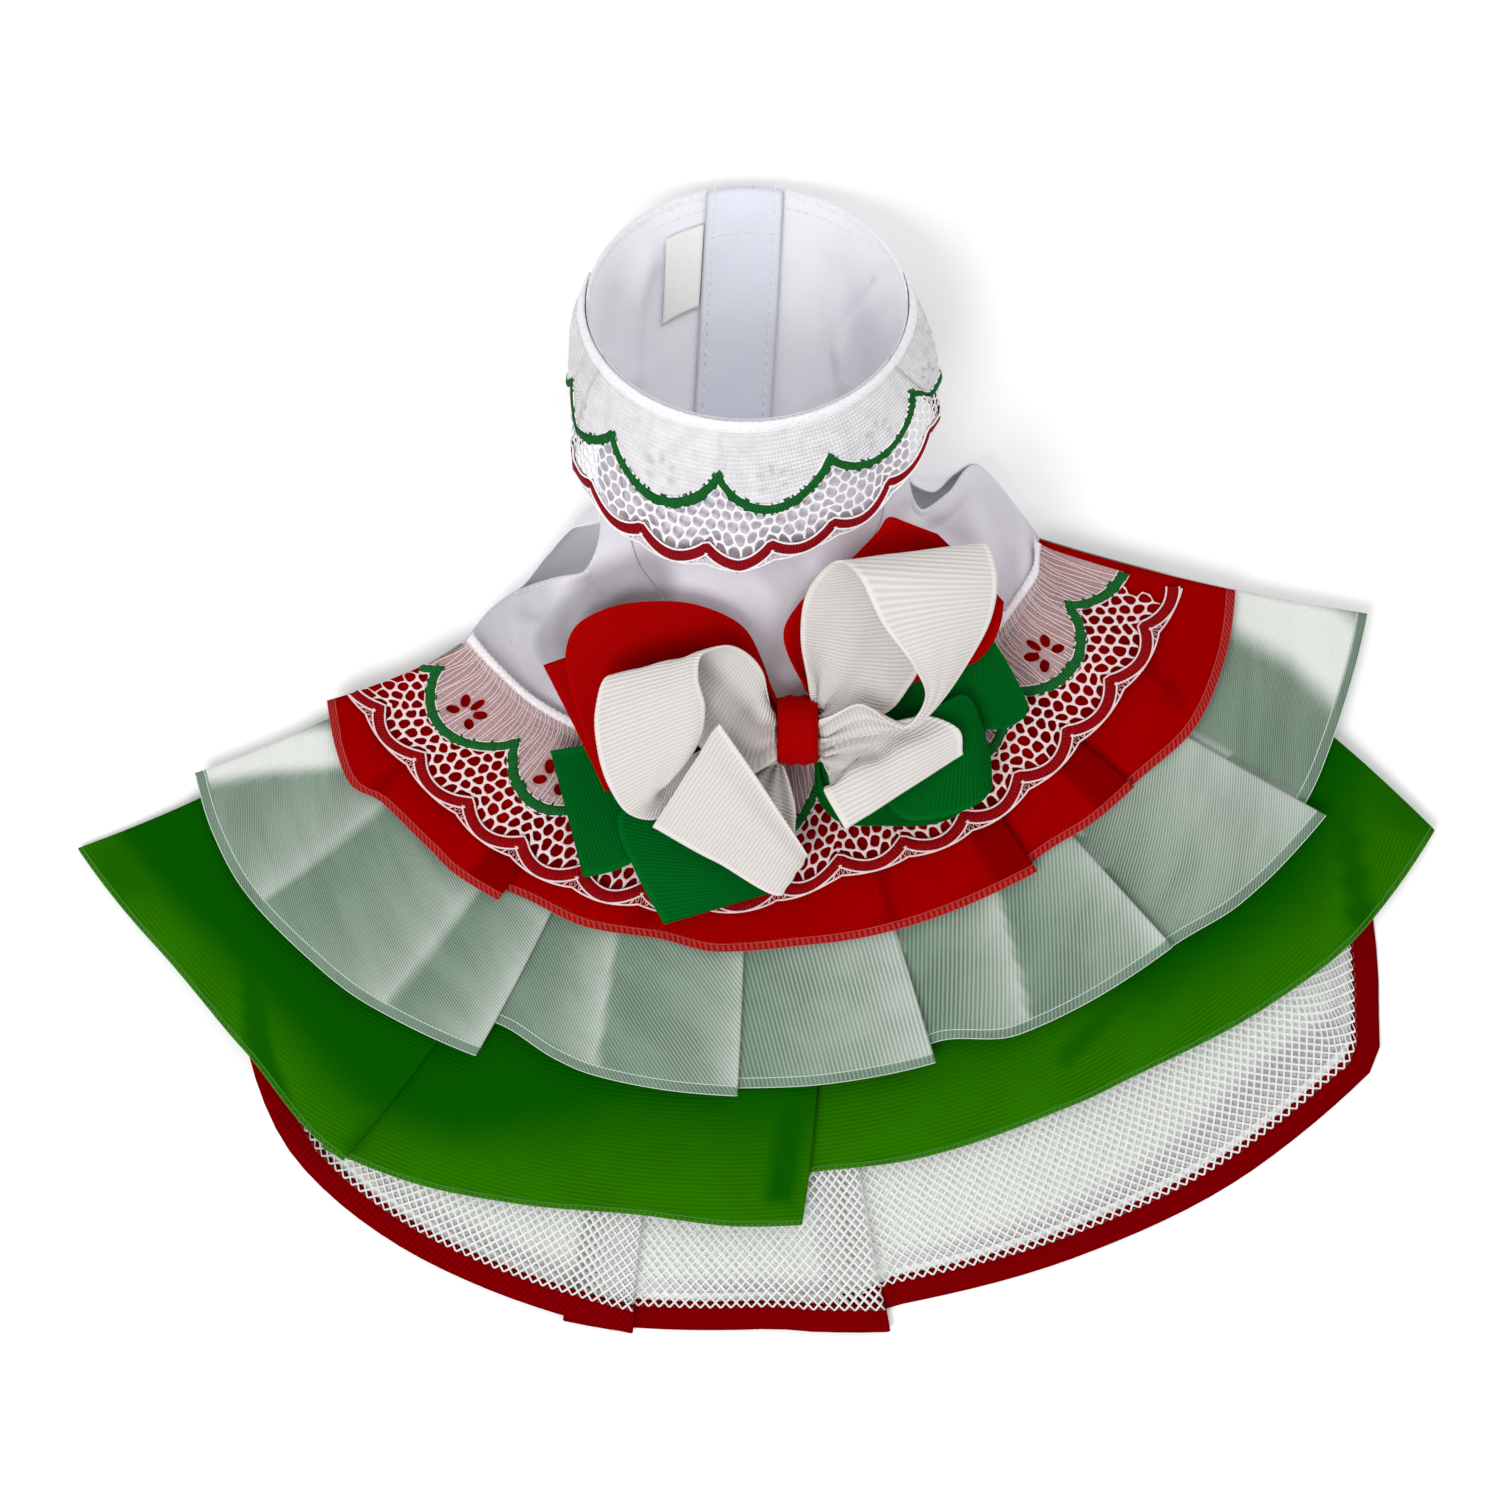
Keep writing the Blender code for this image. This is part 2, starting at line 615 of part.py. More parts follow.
def normals_of(points):
    """Upward normal at each point of a grid."""
    down = np.gradient(points, axis=0)
    across = np.gradient(points, axis=1)
    normal = np.cross(across, down)
    normal /= np.maximum(np.linalg.norm(normal, axis=2, keepdims=True), 1e-9)
    return normal


def outward_normals(points, axis):
    """Normals of a grid that point away from the middle of each row."""
    normal = normals_of(points)
    inside = ((points - axis[:, None, :]) * normal).sum(axis=2) < 0
    normal[inside] *= -1
    return normal


def panel_shares(sections, low, high, count, low_gap, high_gap, back):
    """Shares across a panel between two seams, each drawn in by its half of the seam gap."""
    across = body_points(sections, np.linspace(0.02, 0.98, 25), back)
    width = np.linalg.norm(np.diff(across, axis=1), axis=2).sum(axis=1)
    low = np.asarray(low) + low_gap / width
    high = np.asarray(high) - high_gap / width
    return low[:, None] + (high - low)[:, None] * np.linspace(0, 1, count)[None, :]


def material(name):
    made = bpy.data.materials.get(name)
    if made:
        return made
    colour, roughness = COLOURS[name]
    made = bpy.data.materials.new(name)
    made.use_nodes = True
    shader = made.node_tree.nodes["Principled BSDF"]
    shader.inputs["Base Color"].default_value = (*colour, 1)
    shader.inputs["Roughness"].default_value = roughness
    shader.inputs["Metallic"].default_value = 0
    return made


def cloth(name, points, look, collection):
    """One piece of cloth: a grid laid on the points, given its thickness by Solidify."""
    points = np.asarray(points, float)
    rows, columns = points.shape[:2]
    grid = bmesh.new()
    bmesh.ops.create_grid(grid, x_segments=columns - 1, y_segments=rows - 1, size=1)
    for vertex in grid.verts:
        column = round((vertex.co.x + 1) / 2 * (columns - 1))
        row = round((vertex.co.y + 1) / 2 * (rows - 1))
        vertex.co = (points[row, column] + np.array([*ROW_SHIFT, 0])) * MM
    mesh = bpy.data.meshes.new(name)
    grid.to_mesh(mesh)
    grid.free()
    mesh.shade_smooth()
    piece = bpy.data.objects.new(name, mesh)
    piece.data.materials.append(material(look))
    collection.objects.link(piece)
    solid = piece.modifiers.new("Thickness", "SOLIDIFY")
    solid.thickness = CLOTH * MM
    solid.offset = 0
    solid.use_even_offset = False
    return piece


def make_skirt(collection):
    angles = np.linspace(*LINING_ENDS, 32)
    knots, radii = zip(*sorted({row[0]: row[1] for row in NET_HEM}.items()))
    hem = glide(knots, radii, angles) - LINING_SHORT
    level = np.zeros(len(angles))
    lining = np.column_stack([angles, hem, level, level, level])
    points = skirt_points("net", lining, (0, 0.5, 1), LINING_WAIST, NET_DROP)
    points[..., 2] = CLOTH / 2
    cloth("petticoat_lining", points, "net_white", collection)

    cloth("petticoat_net", net_points(), "net_white", collection)
    cloth("petticoat_binding", petticoat_binding_points(), "binding_red", collection)

    green = walk_hem(GREEN_HEM, 3.2)
    points = skirt_points("green", green, (0, 0.3, 0.6, 0.85, 1), (222.9, 338.0), 45)
    cloth("ruffle_green", points, "organza_green", collection)

    white = walk_hem(WHITE_HEM, 3.0)
    points = skirt_points("white", white, (0, 0.33, 0.67, 1), (222.7, 338.3), 20)
    cloth("ruffle_white", points, "organza_white", collection)

    red = walk_hem(RED_HEM, 2.7)
    points = skirt_points("red", red, (0, 0.5, 1), (223.0, 338.0), 20)
    cloth("ruffle_red", points, "organza_red", collection)

    lace = walk_hem(LACE_HEM, 1.9)
    lace[:, 1] += scallops(np.radians(lace[:, 0] - lace[0, 0]) * lace[:, 1].mean())
    points = skirt_points("lace", lace, (0.08, 0.45, 0.8, 1), LACE_WAIST, 20)
    cloth("waist_lace", np.concatenate([lace_top(lace[:, 0]), points]), "lace_white", collection)


def lace_top(angles):
    """The two rows of the lace that lie on the bodice's edge, made from its points and moved out."""
    turned = np.interp(angles, [angles.min(), angles.max()], LACE_WAIST)
    across = (turned - WAIST_ENDS[0]) / (WAIST_ENDS[1] - WAIST_ENDS[0])
    wall = body_points(np.array([LACE_LAP, LACE_LAP / 4]), across, back=True)
    return wall + np.array([0, 0, STACK * 1.5])


def net_points():
    """The net fills the petticoat up to the binding's inner edge."""
    outline = petticoat_outline()
    edge, inward = edge_and_inward(outline)
    hem = outline[SIDE_STEPS:-SIDE_STEPS]
    edge = (edge + inward * (BINDING_WIDTH + SEAM))[SIDE_STEPS:-SIDE_STEPS]
    angle, lift, drop, bulge = hem[:, 0], hem[:, 2], hem[:, 3], hem[:, 4]
    part = (angle - angle.min()) / (angle.max() - angle.min())
    room = np.degrees((BINDING_WIDTH + SEAM) / WAIST[0][1]) * (1 - 2 * part)
    waist_angle = WAIST_ENDS[0] + (WAIST_ENDS[1] - SIDE_INSET - WAIST_ENDS[0]) * part + room
    inner = waist_radius(waist_angle) + SEAM
    spot = np.radians(waist_angle)
    waist = np.stack([FAN[0] + inner * np.cos(spot), FAN[1] + inner * np.sin(spot)], axis=1)
    points = []
    for share in (0, 0.3, 0.6, 0.82, 0.92, 1):
        flat = waist + (edge - waist) * share
        turned = np.degrees(np.arctan2(flat[:, 1] - FAN[1], flat[:, 0] - FAN[0])) % 360
        spot = np.radians(turned)
        flat = flat + np.stack([-np.sin(spot), np.cos(spot)], axis=1) * bulge[:, None]
        left_over = np.linalg.norm(edge - waist, axis=1) * (1 - share)
        height = layer_height("net", turned) + lift - drop * soft_step(1 - left_over / NET_DROP)
        points.append(np.column_stack([flat, height]))
    return np.array(points)


def scallops(along):
    """How far the lace's edge stands out, from point to point of its scallops."""
    return SCALLOP_DEPTH * (np.abs(np.sin(np.pi * along / SCALLOP)) ** 0.8 - 0.6)


def make_bodice(collection):
    sections = np.array([0, 0.35, 0.8, 1.3, 1.8, 2.2, 2.7, 3.2, 3.7, 4.2, 4.7, 5.1, 5.6, 6.1, 6.6, 7.0])
    knots, shares = zip(*PRINCESS)
    seam = glide(knots, shares, sections)
    edge = np.zeros(len(sections))
    half = SEAM / 2
    for name, low, high, count, low_gap, high_gap in (
        ("side_left", edge, seam, 9, 0, half),
        ("back_centre", seam, 1 - seam, 13, half, half),
        ("side_right", 1 - seam, edge + 1, 9, half, 0),
    ):
        a = panel_shares(sections, low, high, count, low_gap, high_gap, back=True)
        cloth(name, body_points(sections, a, back=True), "poplin_white", collection)

    middle = placket_middle(sections) + OPENING_LINE
    meet = share_at(sections, middle)
    for name, low, high, low_gap, high_gap in (
        ("chest_left", edge, meet, 0, half),
        ("chest_right", meet, edge + 1, half, 0),
    ):
        a = panel_shares(sections, low, high, 11, low_gap, high_gap, back=False)
        cloth(name, body_points(sections, a, back=False), "poplin_white", collection)


def placket_middle(sections):
    knots, xs = zip(*PLACKET_LINE)
    return glide(knots, xs, sections)


def share_at(sections, xs):
    """The share of the way across the belly side at which each section reaches a given x."""
    trial = np.linspace(0, 1, 201)
    points = body_points(sections, trial, back=False)
    return np.array([np.interp(x, row[:, 0], trial) for x, row in zip(xs, points)])


def strip_on_chest(sections, left, right, count, lift):
    """Points of a strip that lies inside the belly side, between two lines of x."""
    low = share_at(sections, left)
    high = share_at(sections, right)
    a = low[:, None] + (high - low)[:, None] * np.linspace(0, 1, count)[None, :]
    points = body_points(sections, a, back=False)
    normal = normals_of(points)
    normal[normal[..., 2] < 0] *= -1
    return points + normal * lift


def make_placket(collection):
    sections = np.array([0.1, 1, 2, 3, 4, 4.6, 5.2, 5.7, 6.2, 6.6, 6.98])
    middle = placket_middle(sections)
    half = PLACKET_WIDTH / 2
    strip = strip_on_chest(sections, middle - half, middle + half, 5, STACK + 0.2)
    cloth("placket", strip, "poplin_white", collection)
    start, end, width = LABEL
    sections = np.linspace(start, end, 6)
    edge = placket_middle(sections) - half - SEAM - 0.1
    strip = strip_on_chest(sections, edge - width, edge, 3, STACK + 0.25)
    cloth("care_label", strip, "label_white", collection)


def make_neck_lace(collection):
    """The lace hangs from the neck's edge over the back, and stands off it more towards its own edge."""
    sections = np.linspace(7, 4.0, 46)
    around = np.linspace(0.012, 0.988, 65)
    wall = body_points(sections, around, back=True)
    normal = outward_normals(wall, (wall[:, 0] + wall[:, -1]) / 2)
    steps = np.linalg.norm(np.diff(wall, axis=0), axis=2)
    down = np.vstack([np.zeros(len(around)), np.cumsum(steps, axis=0)])
    middle_row = wall[20]
    along = np.concatenate([[0], np.cumsum(np.linalg.norm(np.diff(middle_row, axis=0), axis=1))])
    width = LACE_WIDTH + scallops(along)
    shares = np.array([0.01, 0.35, 0.62, 0.85, 1])
    points = np.empty((len(shares), len(around), 3))
    wave = 0.5 + 0.5 * np.sin(2 * np.pi * along / (2 * SCALLOP) + 0.6)
    for i, share in enumerate(shares):
        for j in range(len(around)):
            at = np.interp(share * width[j], down[:, j], np.arange(len(sections)))
            low = min(int(at), len(sections) - 2)
            part = at - low
            spot = wall[low, j] * (1 - part) + wall[low + 1, j] * part
            out = normal[low, j] * (1 - part) + normal[low + 1, j] * part
            stands_off = STACK + 0.05 + (1.2 + 1.6 * wave[j]) * share**2
            points[i, j] = spot + out * stands_off
    cloth("neck_lace", points, "lace_white", collection)


def bow_lift(y):
    """How far the back's slope lifts the bow at this distance up the back."""
    past = y + KNOT[1] - 4
    return BOW_LEAN * (past + np.sqrt(past**2 + 100))


def ribbon_points(name, length_steps, width_steps):
    rows = RIBBONS[name]
    table = np.array([[*row[0], *row[1], row[2]] for row in rows], float)
    middle = (table[:, 0:3] + table[:, 3:6]) / 2
    along = np.concatenate([[0], np.cumsum(np.linalg.norm(np.diff(middle, axis=0), axis=1))])
    at = np.linspace(0, along[-1], length_steps + 1)
    read = through(along, table, at)
    share = np.linspace(0, 1, width_steps + 1)
    edge, other, bulge = read[:, None, 0:3], read[:, None, 3:6], read[:, 6:7]
    points = edge * (1 - share)[None, :, None] + other * share[None, :, None]
    points[..., 2] += bulge * 4 * (share * (1 - share))[None, :]
    if name in PINCHED:
        near = np.exp(-at / PINCH_REACH * 2)
        if "loop" in name:
            near = near + np.exp(-(along[-1] - at) / PINCH_REACH * 2)
        points[..., 2] += PINCH_DEPTH * near[:, None] * np.sin(2 * np.pi * 1.5 * share)[None, :]
    points[..., 2] += bow_lift(points[..., 1])
    points[..., 0] += KNOT[0]
    points[..., 1] += KNOT[1]
    return points


def through(knots, values, at):
    """A rounder line than glide gives, for ribbon that curls past its points."""
    knots, values = np.asarray(knots, float), np.asarray(values, float)
    slope = np.gradient(values, knots, axis=0)
    place = np.clip(np.searchsorted(knots, at, side="right") - 1, 0, len(knots) - 2)
    span = (knots[place + 1] - knots[place])[:, None]
    part = ((at - knots[place]) / span[:, 0])[:, None]
    start, end = values[place], values[place + 1]
    lead, trail = slope[place] * span, slope[place + 1] * span
    bend = (2 * start - 2 * end + lead + trail) * part**3
    return bend + (3 * end - 3 * start - 2 * lead - trail) * part**2 + lead * part + start


def make_bow(collection):
    for name in RIBBONS:
        look = "grosgrain_" + name.split("_")[1]
        rows = len(RIBBONS[name])
        steps = 2 * rows if "white_loop" in name else round(1.6 * rows) + 2
        cloth(name, ribbon_points(name, steps, 6 if name in PINCHED else 4), look, collection)

    length, up, high = KNOT_SIZE
    barrel = bmesh.new()
    bmesh.ops.create_cone(barrel, cap_ends=True, segments=24, radius1=0.5, radius2=0.5, depth=1)
    bmesh.ops.rotate(barrel, verts=barrel.verts, matrix=Matrix.Rotation(math.pi / 2, 3, "Y"))
    bmesh.ops.scale(barrel, verts=barrel.verts, vec=(length * MM, up * MM, high * MM))
    lift = float(bow_lift(np.array(0.0)))
    middle = (KNOT[0] + ROW_SHIFT[0], KNOT[1] + ROW_SHIFT[1], KNOT_FOOT + high / 2 + lift)
    bmesh.ops.translate(barrel, verts=barrel.verts, vec=[place * MM for place in middle])
    mesh = bpy.data.meshes.new("bow_knot")
    barrel.to_mesh(mesh)
    barrel.free()
    knot = bpy.data.objects.new("bow_knot", mesh)
    knot.data.materials.append(material("grosgrain_red"))
    collection.objects.link(knot)
    soft = knot.modifiers.new("Rounded edge", "BEVEL")
    soft.width = 1.2 * MM
    soft.segments = 2
    soft.limit_method = "ANGLE"
    mesh.shade_smooth()


def main():
    for old in list(bpy.data.objects):
        bpy.data.objects.remove(old)
    collection = bpy.data.collections.new("china_poblana_dog_dress")
    bpy.context.scene.collection.children.link(collection)
    make_skirt(collection)
    make_bodice(collection)
    make_placket(collection)
    make_neck_lace(collection)
    make_bow(collection)


main()
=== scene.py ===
"""China poblana dress in a small dog's size, laid flat: the looks of every piece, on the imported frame.

The frame has +X to the dress's right, +Y towards the neck and +Z up from the table. Tables are in millimetres
and repeat the ones that the solids are made from, so that each piece lies on its own solid.
"""
import math

import bpy
import numpy as np
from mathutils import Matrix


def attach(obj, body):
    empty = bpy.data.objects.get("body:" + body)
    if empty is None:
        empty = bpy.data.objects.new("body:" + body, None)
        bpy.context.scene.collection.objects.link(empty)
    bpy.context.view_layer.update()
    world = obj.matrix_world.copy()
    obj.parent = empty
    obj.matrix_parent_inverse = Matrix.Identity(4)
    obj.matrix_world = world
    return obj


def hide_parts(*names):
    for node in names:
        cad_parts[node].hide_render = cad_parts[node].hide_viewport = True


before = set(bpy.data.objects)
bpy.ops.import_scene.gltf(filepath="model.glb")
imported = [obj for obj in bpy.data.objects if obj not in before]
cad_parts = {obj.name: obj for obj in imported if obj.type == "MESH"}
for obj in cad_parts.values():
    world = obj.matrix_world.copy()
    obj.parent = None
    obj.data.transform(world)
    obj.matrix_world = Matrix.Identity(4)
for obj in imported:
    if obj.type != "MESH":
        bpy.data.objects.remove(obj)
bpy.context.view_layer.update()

bl_info = {
    "name": "China poblana dog dress",
    "version": (1, 0, 0),
    "blender": (4, 5, 0),
    "location": "3D Viewport > Sidebar > Dress",
    "description": "Poplin, lace, organza, net, ribbon and stitches of a small dog's layered dress",
    "category": "Object",
}

MM = 0.001
CLOTH = 1.0  # wall of every cloth piece
SEAM = 0.35  # gap between pieces that are sewn or lie together
STACK = CLOTH + SEAM  # from the middle of one layer to the middle of the next

# The skirt fans out about this point, which lies under the neck
FAN = (-11.3, 103.2)
ROW_SHIFT = (0.0, 1.0)  # puts the row's origin under the middle of the whole dress

# Skirt layers from the table up: middle height at the skirt's two ends and between them
LAYER_HEIGHTS = {
    "net": (1.85, 1.85),
    "green": (3.3, 5.9),
    "white": (6.1, 9.95),
    "red": (8.9, 14.0),
    "lace": (10.3, 18.05),
}
ENDS = (217.0, 233.0, 326.0, 337.0)  # the layers swell between the first two angles and sink between the last

# Columns: angle; radius
WAIST = [
    (200, 103),
    (222.6, 103),
    (228, 104),
    (241, 106.5),
    (280, 106),
    (323, 109),
    (330, 109),
    (338.3, 103),
    (352, 103),
]

# A row for each bend of a hem, walked from left to right. Two rows with one angle are a fold, where the cloth
# turns back from one level to the next. Drop is how far the hem hangs below the layer's own height.
# Columns: angle; radius; level; drop
NET_HEM = [
    (226, 204, 0, 0.7),
    (233.4, 237, 0, 1.3),
    (240.9, 258, 0, 1.3),
    (249, 267.5, 0.6, 1.3),
    (255, 271.5, 1.2, 1.3),
    (259.6, 274, 2, 1.3),
    (264.5, 277, 2, 1.3),
    (264.5, 277, 1, 1.3),
    (260.5, 276.2, 1, 1.3),
    (260.5, 276.2, 0, 1.3),
    (266, 275.5, 0, 1.3),
    (273, 275, 1.2, 1.3),
    (276.2, 277, 2, 1.3),
    (280.4, 280, 2, 1.3),
    (280.4, 280, 1, 1.3),
    (277, 277, 1, 1.3),
    (277, 277, 0, 1.3),
    (281.5, 273, 0, 1.3),
    (293, 275, 0.6, 1.3),
    (305.7, 278, 0.2, 1.3),
    (314.7, 278, 0.4, 1.3),
    (318.3, 265, 0, 1.3),
    (323.2, 244, 0, 1.3),
    (331.8, 208, 0, 0.7),
]
GREEN_HEM = [
    (217.2, 231.5, 0, 2),
    (214.5, 232, 0, 2),
    (214.5, 232, 1, 2),
    (223.7, 232, 1, 1),
    (233.2, 237, 1.4, 0),
    (241, 247.6, 2, 0),
    (243.3, 249.8, 2, 0),
    (243.3, 249.8, 1, 0),
    (241.9, 249.4, 1, 0),
    (241.9, 249.4, 0, 0),
    (248, 248, 0, 0),
    (255.9, 244, 0.8, 0),
    (264.4, 241, 0.6, 0),
    (271.4, 243.2, 2, 0),
    (275.7, 244, 2, 0),
    (275.7, 244, 1, 0),
    (272.4, 236, 1, 0),
    (272.4, 236, 0, 0),
    (277.2, 229, 0, 0),
    (285, 231, 0.3, 0),
    (295, 232, 0.8, 0),
    (298.5, 233, 1.6, 0),
    (301.8, 234, 0.8, 0),
    (313, 242, 0.4, 0),
    (321, 247, 1, 0.5),
    (329.5, 248, 1, 2),
    (329.5, 248, 0, 2),
    (326.6, 247, 0, 2),
]
WHITE_HEM = [
    (218.2, 193, 0, 0),
    (215, 190, 0, 0),
    (215, 190, 1, 0),
    (219.7, 196, 1, 0),
    (225.6, 201, 0.8, 0),
    (231.9, 203, 1.4, 0),
    (239.3, 205, 2, 0),
    (249.3, 205, 2, 0),
    (249.3, 205, 1, 0),
    (240.9, 199, 1, 0),
    (240.9, 199, 0, 0),
    (250.2, 194, 0, 0),
    (256, 199, 1.4, 0),
    (259, 201, 2, 0),
    (271.4, 204, 2, 0),
    (271.4, 204, 1, 0),
    (259.5, 201, 1, 0),
    (259.5, 201, 0, 0),
    (272.6, 202, 0, 0),
    (279.2, 203, 2, 0),
    (288.2, 204.5, 2, 0),
    (288.2, 204.5, 1, 0),
    (281.4, 200, 1, 0),
    (281.4, 200, 0, 0),
    (289, 199, 0, 0),
    (295.6, 206, 2, 0),
    (310, 209, 2, 0),
    (310, 209, 1, 0),
    (296.6, 204, 1, 0),
    (296.6, 204, 0, 0),
    (311, 209.5, 0, 0),
    (316.5, 213.5, 2, 0),
    (326, 217, 2, 0),
    (326, 217, 1, 0),
    (317.2, 212, 1, 0),
    (317.2, 212, 0, 0),
    (327, 210, 0, 0),
    (332, 207.5, 0.3, 0),
    (342.6, 203, 0, 0),
]
RED_HEM = [
    (216.7, 145, 0, 0),
    (221.8, 152, 0.3, 0),
    (226.1, 156, 0.9, 0),
    (229.3, 153.5, 0.1, 0),
    (237, 156, 1.2, 0),
    (240, 158, 2, 0),
    (245.7, 159.5, 2, 0),
    (245.7, 159.5, 1, 0),
    (241.6, 157, 1, 0),
    (241.6, 157, 0, 0),
    (248, 156, 0.2, 0),
    (256, 158.5, 1.2, 0),
    (263, 158, 0.3, 0),
    (270, 161, 1.3, 0),
    (277, 161, 0.2, 0),
    (285, 162.5, 1.2, 0),
    (292.8, 164, 0.7, 0),
    (298.6, 165, 2, 0),
    (304.3, 166.5, 2, 0),
    (304.3, 166.5, 1, 0),
    (300.4, 164, 1, 0),
    (300.4, 164, 0, 0),
    (306.5, 163.5, 0.1, 0),
    (312.2, 165.5, 2, 0),
    (317.4, 166.5, 2, 0),
    (317.4, 166.5, 1, 0),
    (313.4, 164, 1, 0),
    (313.4, 164, 0, 0),
    (320, 167, 0.2, 0),
    (326.4, 170, 1, 0),
    (333.7, 168, 0.2, 0),
    (340.7, 163, 0, 0),
]
LACE_HEM = [
    (217.4, 137, 0, 0),
    (222.6, 138, 0.1, 0),
    (231.7, 140, 0.5, 0),
    (241, 144, 0.1, 0),
    (249, 147, 0.6, 0),
    (257.5, 148.5, 0.1, 0),
    (266, 148.5, 0.7, 0),
    (275, 147, 0.1, 0),
    (285.4, 142.5, 0.6, 0),
    (294.4, 144, 0.1, 0),
    (302.8, 145.5, 0.6, 0),
    (311, 145, 0.1, 0),
    (320, 145, 0.6, 0),
    (330, 146, 0.1, 0),
    (339, 146.5, 0, 0),
]
LACE_WAIST = (223.2, 336.9)  # angles of the lace's two ends at the waist
LACE_LAP = 0.33  # section of the bodice up to which the lace's top laps over it
WAIST_ENDS = (222.6, 338.3)  # angles of the ends of the waist seam

BINDING_WIDTH = 8.5
SIDE_DROP = 1.25  # the petticoat's sides sink this far to the table
SIDE_INSET = 2.3  # degrees by which the petticoat stops short of the waist's right end
PLEATED = (240, 300)  # between these angles the petticoat's edge is read as an arc about the fan's middle
PETTICOAT_MIDDLE = (279, 190)  # angle and radius of a point well inside the petticoat
NET_DROP = 12  # the net sinks to the table over this last stretch
LINING_ENDS = (231.0, 325.0)  # angles of the lining's sides at its hem, and then at the waist
LINING_WAIST = (228.2, 330.3)
SCALLOP = 21  # from one point of the lace's edge to the next
SCALLOP_DEPTH = 4.5

# A row for each section through the bodice, from the waist seam to the neck. The back runs over its ridge,
# from its left to its right edge, and the belly side from edge to edge over its middle on the table.
# Round says how full the curve is: 1 is half an ellipse. Flat is the share of the belly side that lies flat.
# Columns: back: left, ridge, right; belly: left, middle, right; round, flat
SECTIONS = [
    # waist seam, whose back edge follows the skirt, and the belly side's own hem
    (
        ((-87, 34, 8.2), (7.2, -1, 18.2), (84, 65, 8.2)),
        ((-86.8, 34.4, 6.8), (2, 42, 0.5), (83.8, 65.3, 6.8)),
        (1.5, 0.6),
    ),
    (
        ((-78.5, 44, 8.5), (6, 13, 25), (78, 73.5, 8.5)),
        ((-78.3, 44.4, 7.1), (2, 50, 0.5), (77.8, 73.9, 7.1)),
        (1.4, 0.6),
    ),
    # outer ends of the armholes
    (
        ((-70, 49.5, 11), (5, 26, 30), (65, 86.5, 11)),
        ((-70.2, 50, 9.5), (1, 60, 0.5), (65, 87, 9.5)),
        (1.3, 0.6),
    ),
    (
        ((-58.5, 52.5, 23), (3.5, 39, 34), (56.5, 77.5, 22)),
        ((-62, 60, 9), (1, 72, 0.5), (59, 84, 8)),
        (1.15, 0.6),
    ),
    (
        ((-51, 53.5, 30), (2.5, 50, 38.5), (48.5, 72, 30)),
        ((-53, 68, 14), (0, 86, 0.5), (52, 78, 14)),
        (1.0, 0.65),
    ),
    # inner ends of the armholes, where the neck tube starts
    (
        ((-45, 67, 36), (1, 62, 45), (44.5, 79, 36)),
        ((-45.3, 68, 34.9), (-1, 102, 0.5), (44.7, 80, 34.9)),
        (0.95, 0.75),
    ),
    (
        ((-46, 98, 37.7), (-1, 78, 55.5), (43.5, 105, 37.7)),
        ((-46, 98.15, 37.3), (-2, 136, 0.6), (43.5, 105.15, 37.3)),
        (1.0, 0.9),
    ),
    (
        ((-49, 132, 37.6), (-2.6, 94.6, 70), (43.8, 132, 37.6)),
        ((-49, 132.2, 37.25), (-2.6, 170.6, 4), (43.8, 132.2, 37.25)),
        (1.0, 1.0),
    ),
]
# Columns: section; share of the way across
PRINCESS = [(0, 0.4), (1, 0.39), (3, 0.345), (4, 0.30), (5, 0.20), (6, 0.17), (7, 0.155)]

# Soft folds of the bodice, each about its middle
# Columns: section; across; reach along; reach across; turn; depth
BACK_FOLDS = [
    (2.2, 0.13, 1.6, 0.035, 0.05, 2.2),
    (1.6, 0.24, 1.3, 0.04, 0.04, -1.6),
    (3.1, 0.20, 1.0, 0.035, 0.05, -1.6),
    (2.6, 0.87, 1.3, 0.04, -0.04, -2.0),
    (1.5, 0.83, 1.2, 0.04, 0.03, 1.4),
    (5.6, 0.42, 1.2, 0.06, 0.05, -1.2),
]
CHEST_FOLDS = [
    (6.2, 0.80, 1.0, 0.05, -0.05, 2.6),
    (5.7, 0.70, 1.2, 0.04, -0.06, 1.4),
    (6.4, 0.24, 1.0, 0.05, 0.03, 1.8),
]

PLACKET_WIDTH = 23.5
# Columns: section; middle x
PLACKET_LINE = [(0, -9), (4, -8), (5, -7), (6, -5), (7, -3.2)]
LABEL = (6.05, 6.72, 11.5)  # from section, to section, width
OPENING_LINE = 2.0  # the belly panels meet this far right of the placket's middle

# The bow: points are from the middle of the knot, heights from the table where the waist seam lies
KNOT = (12.0, 7.5)
KNOT_SIZE = (11.0, 19.5, 21.5)  # along the waist, up the back, and high
KNOT_FOOT = 22.2
BOW_LEAN = 0.13  # the bow leans on the rising back

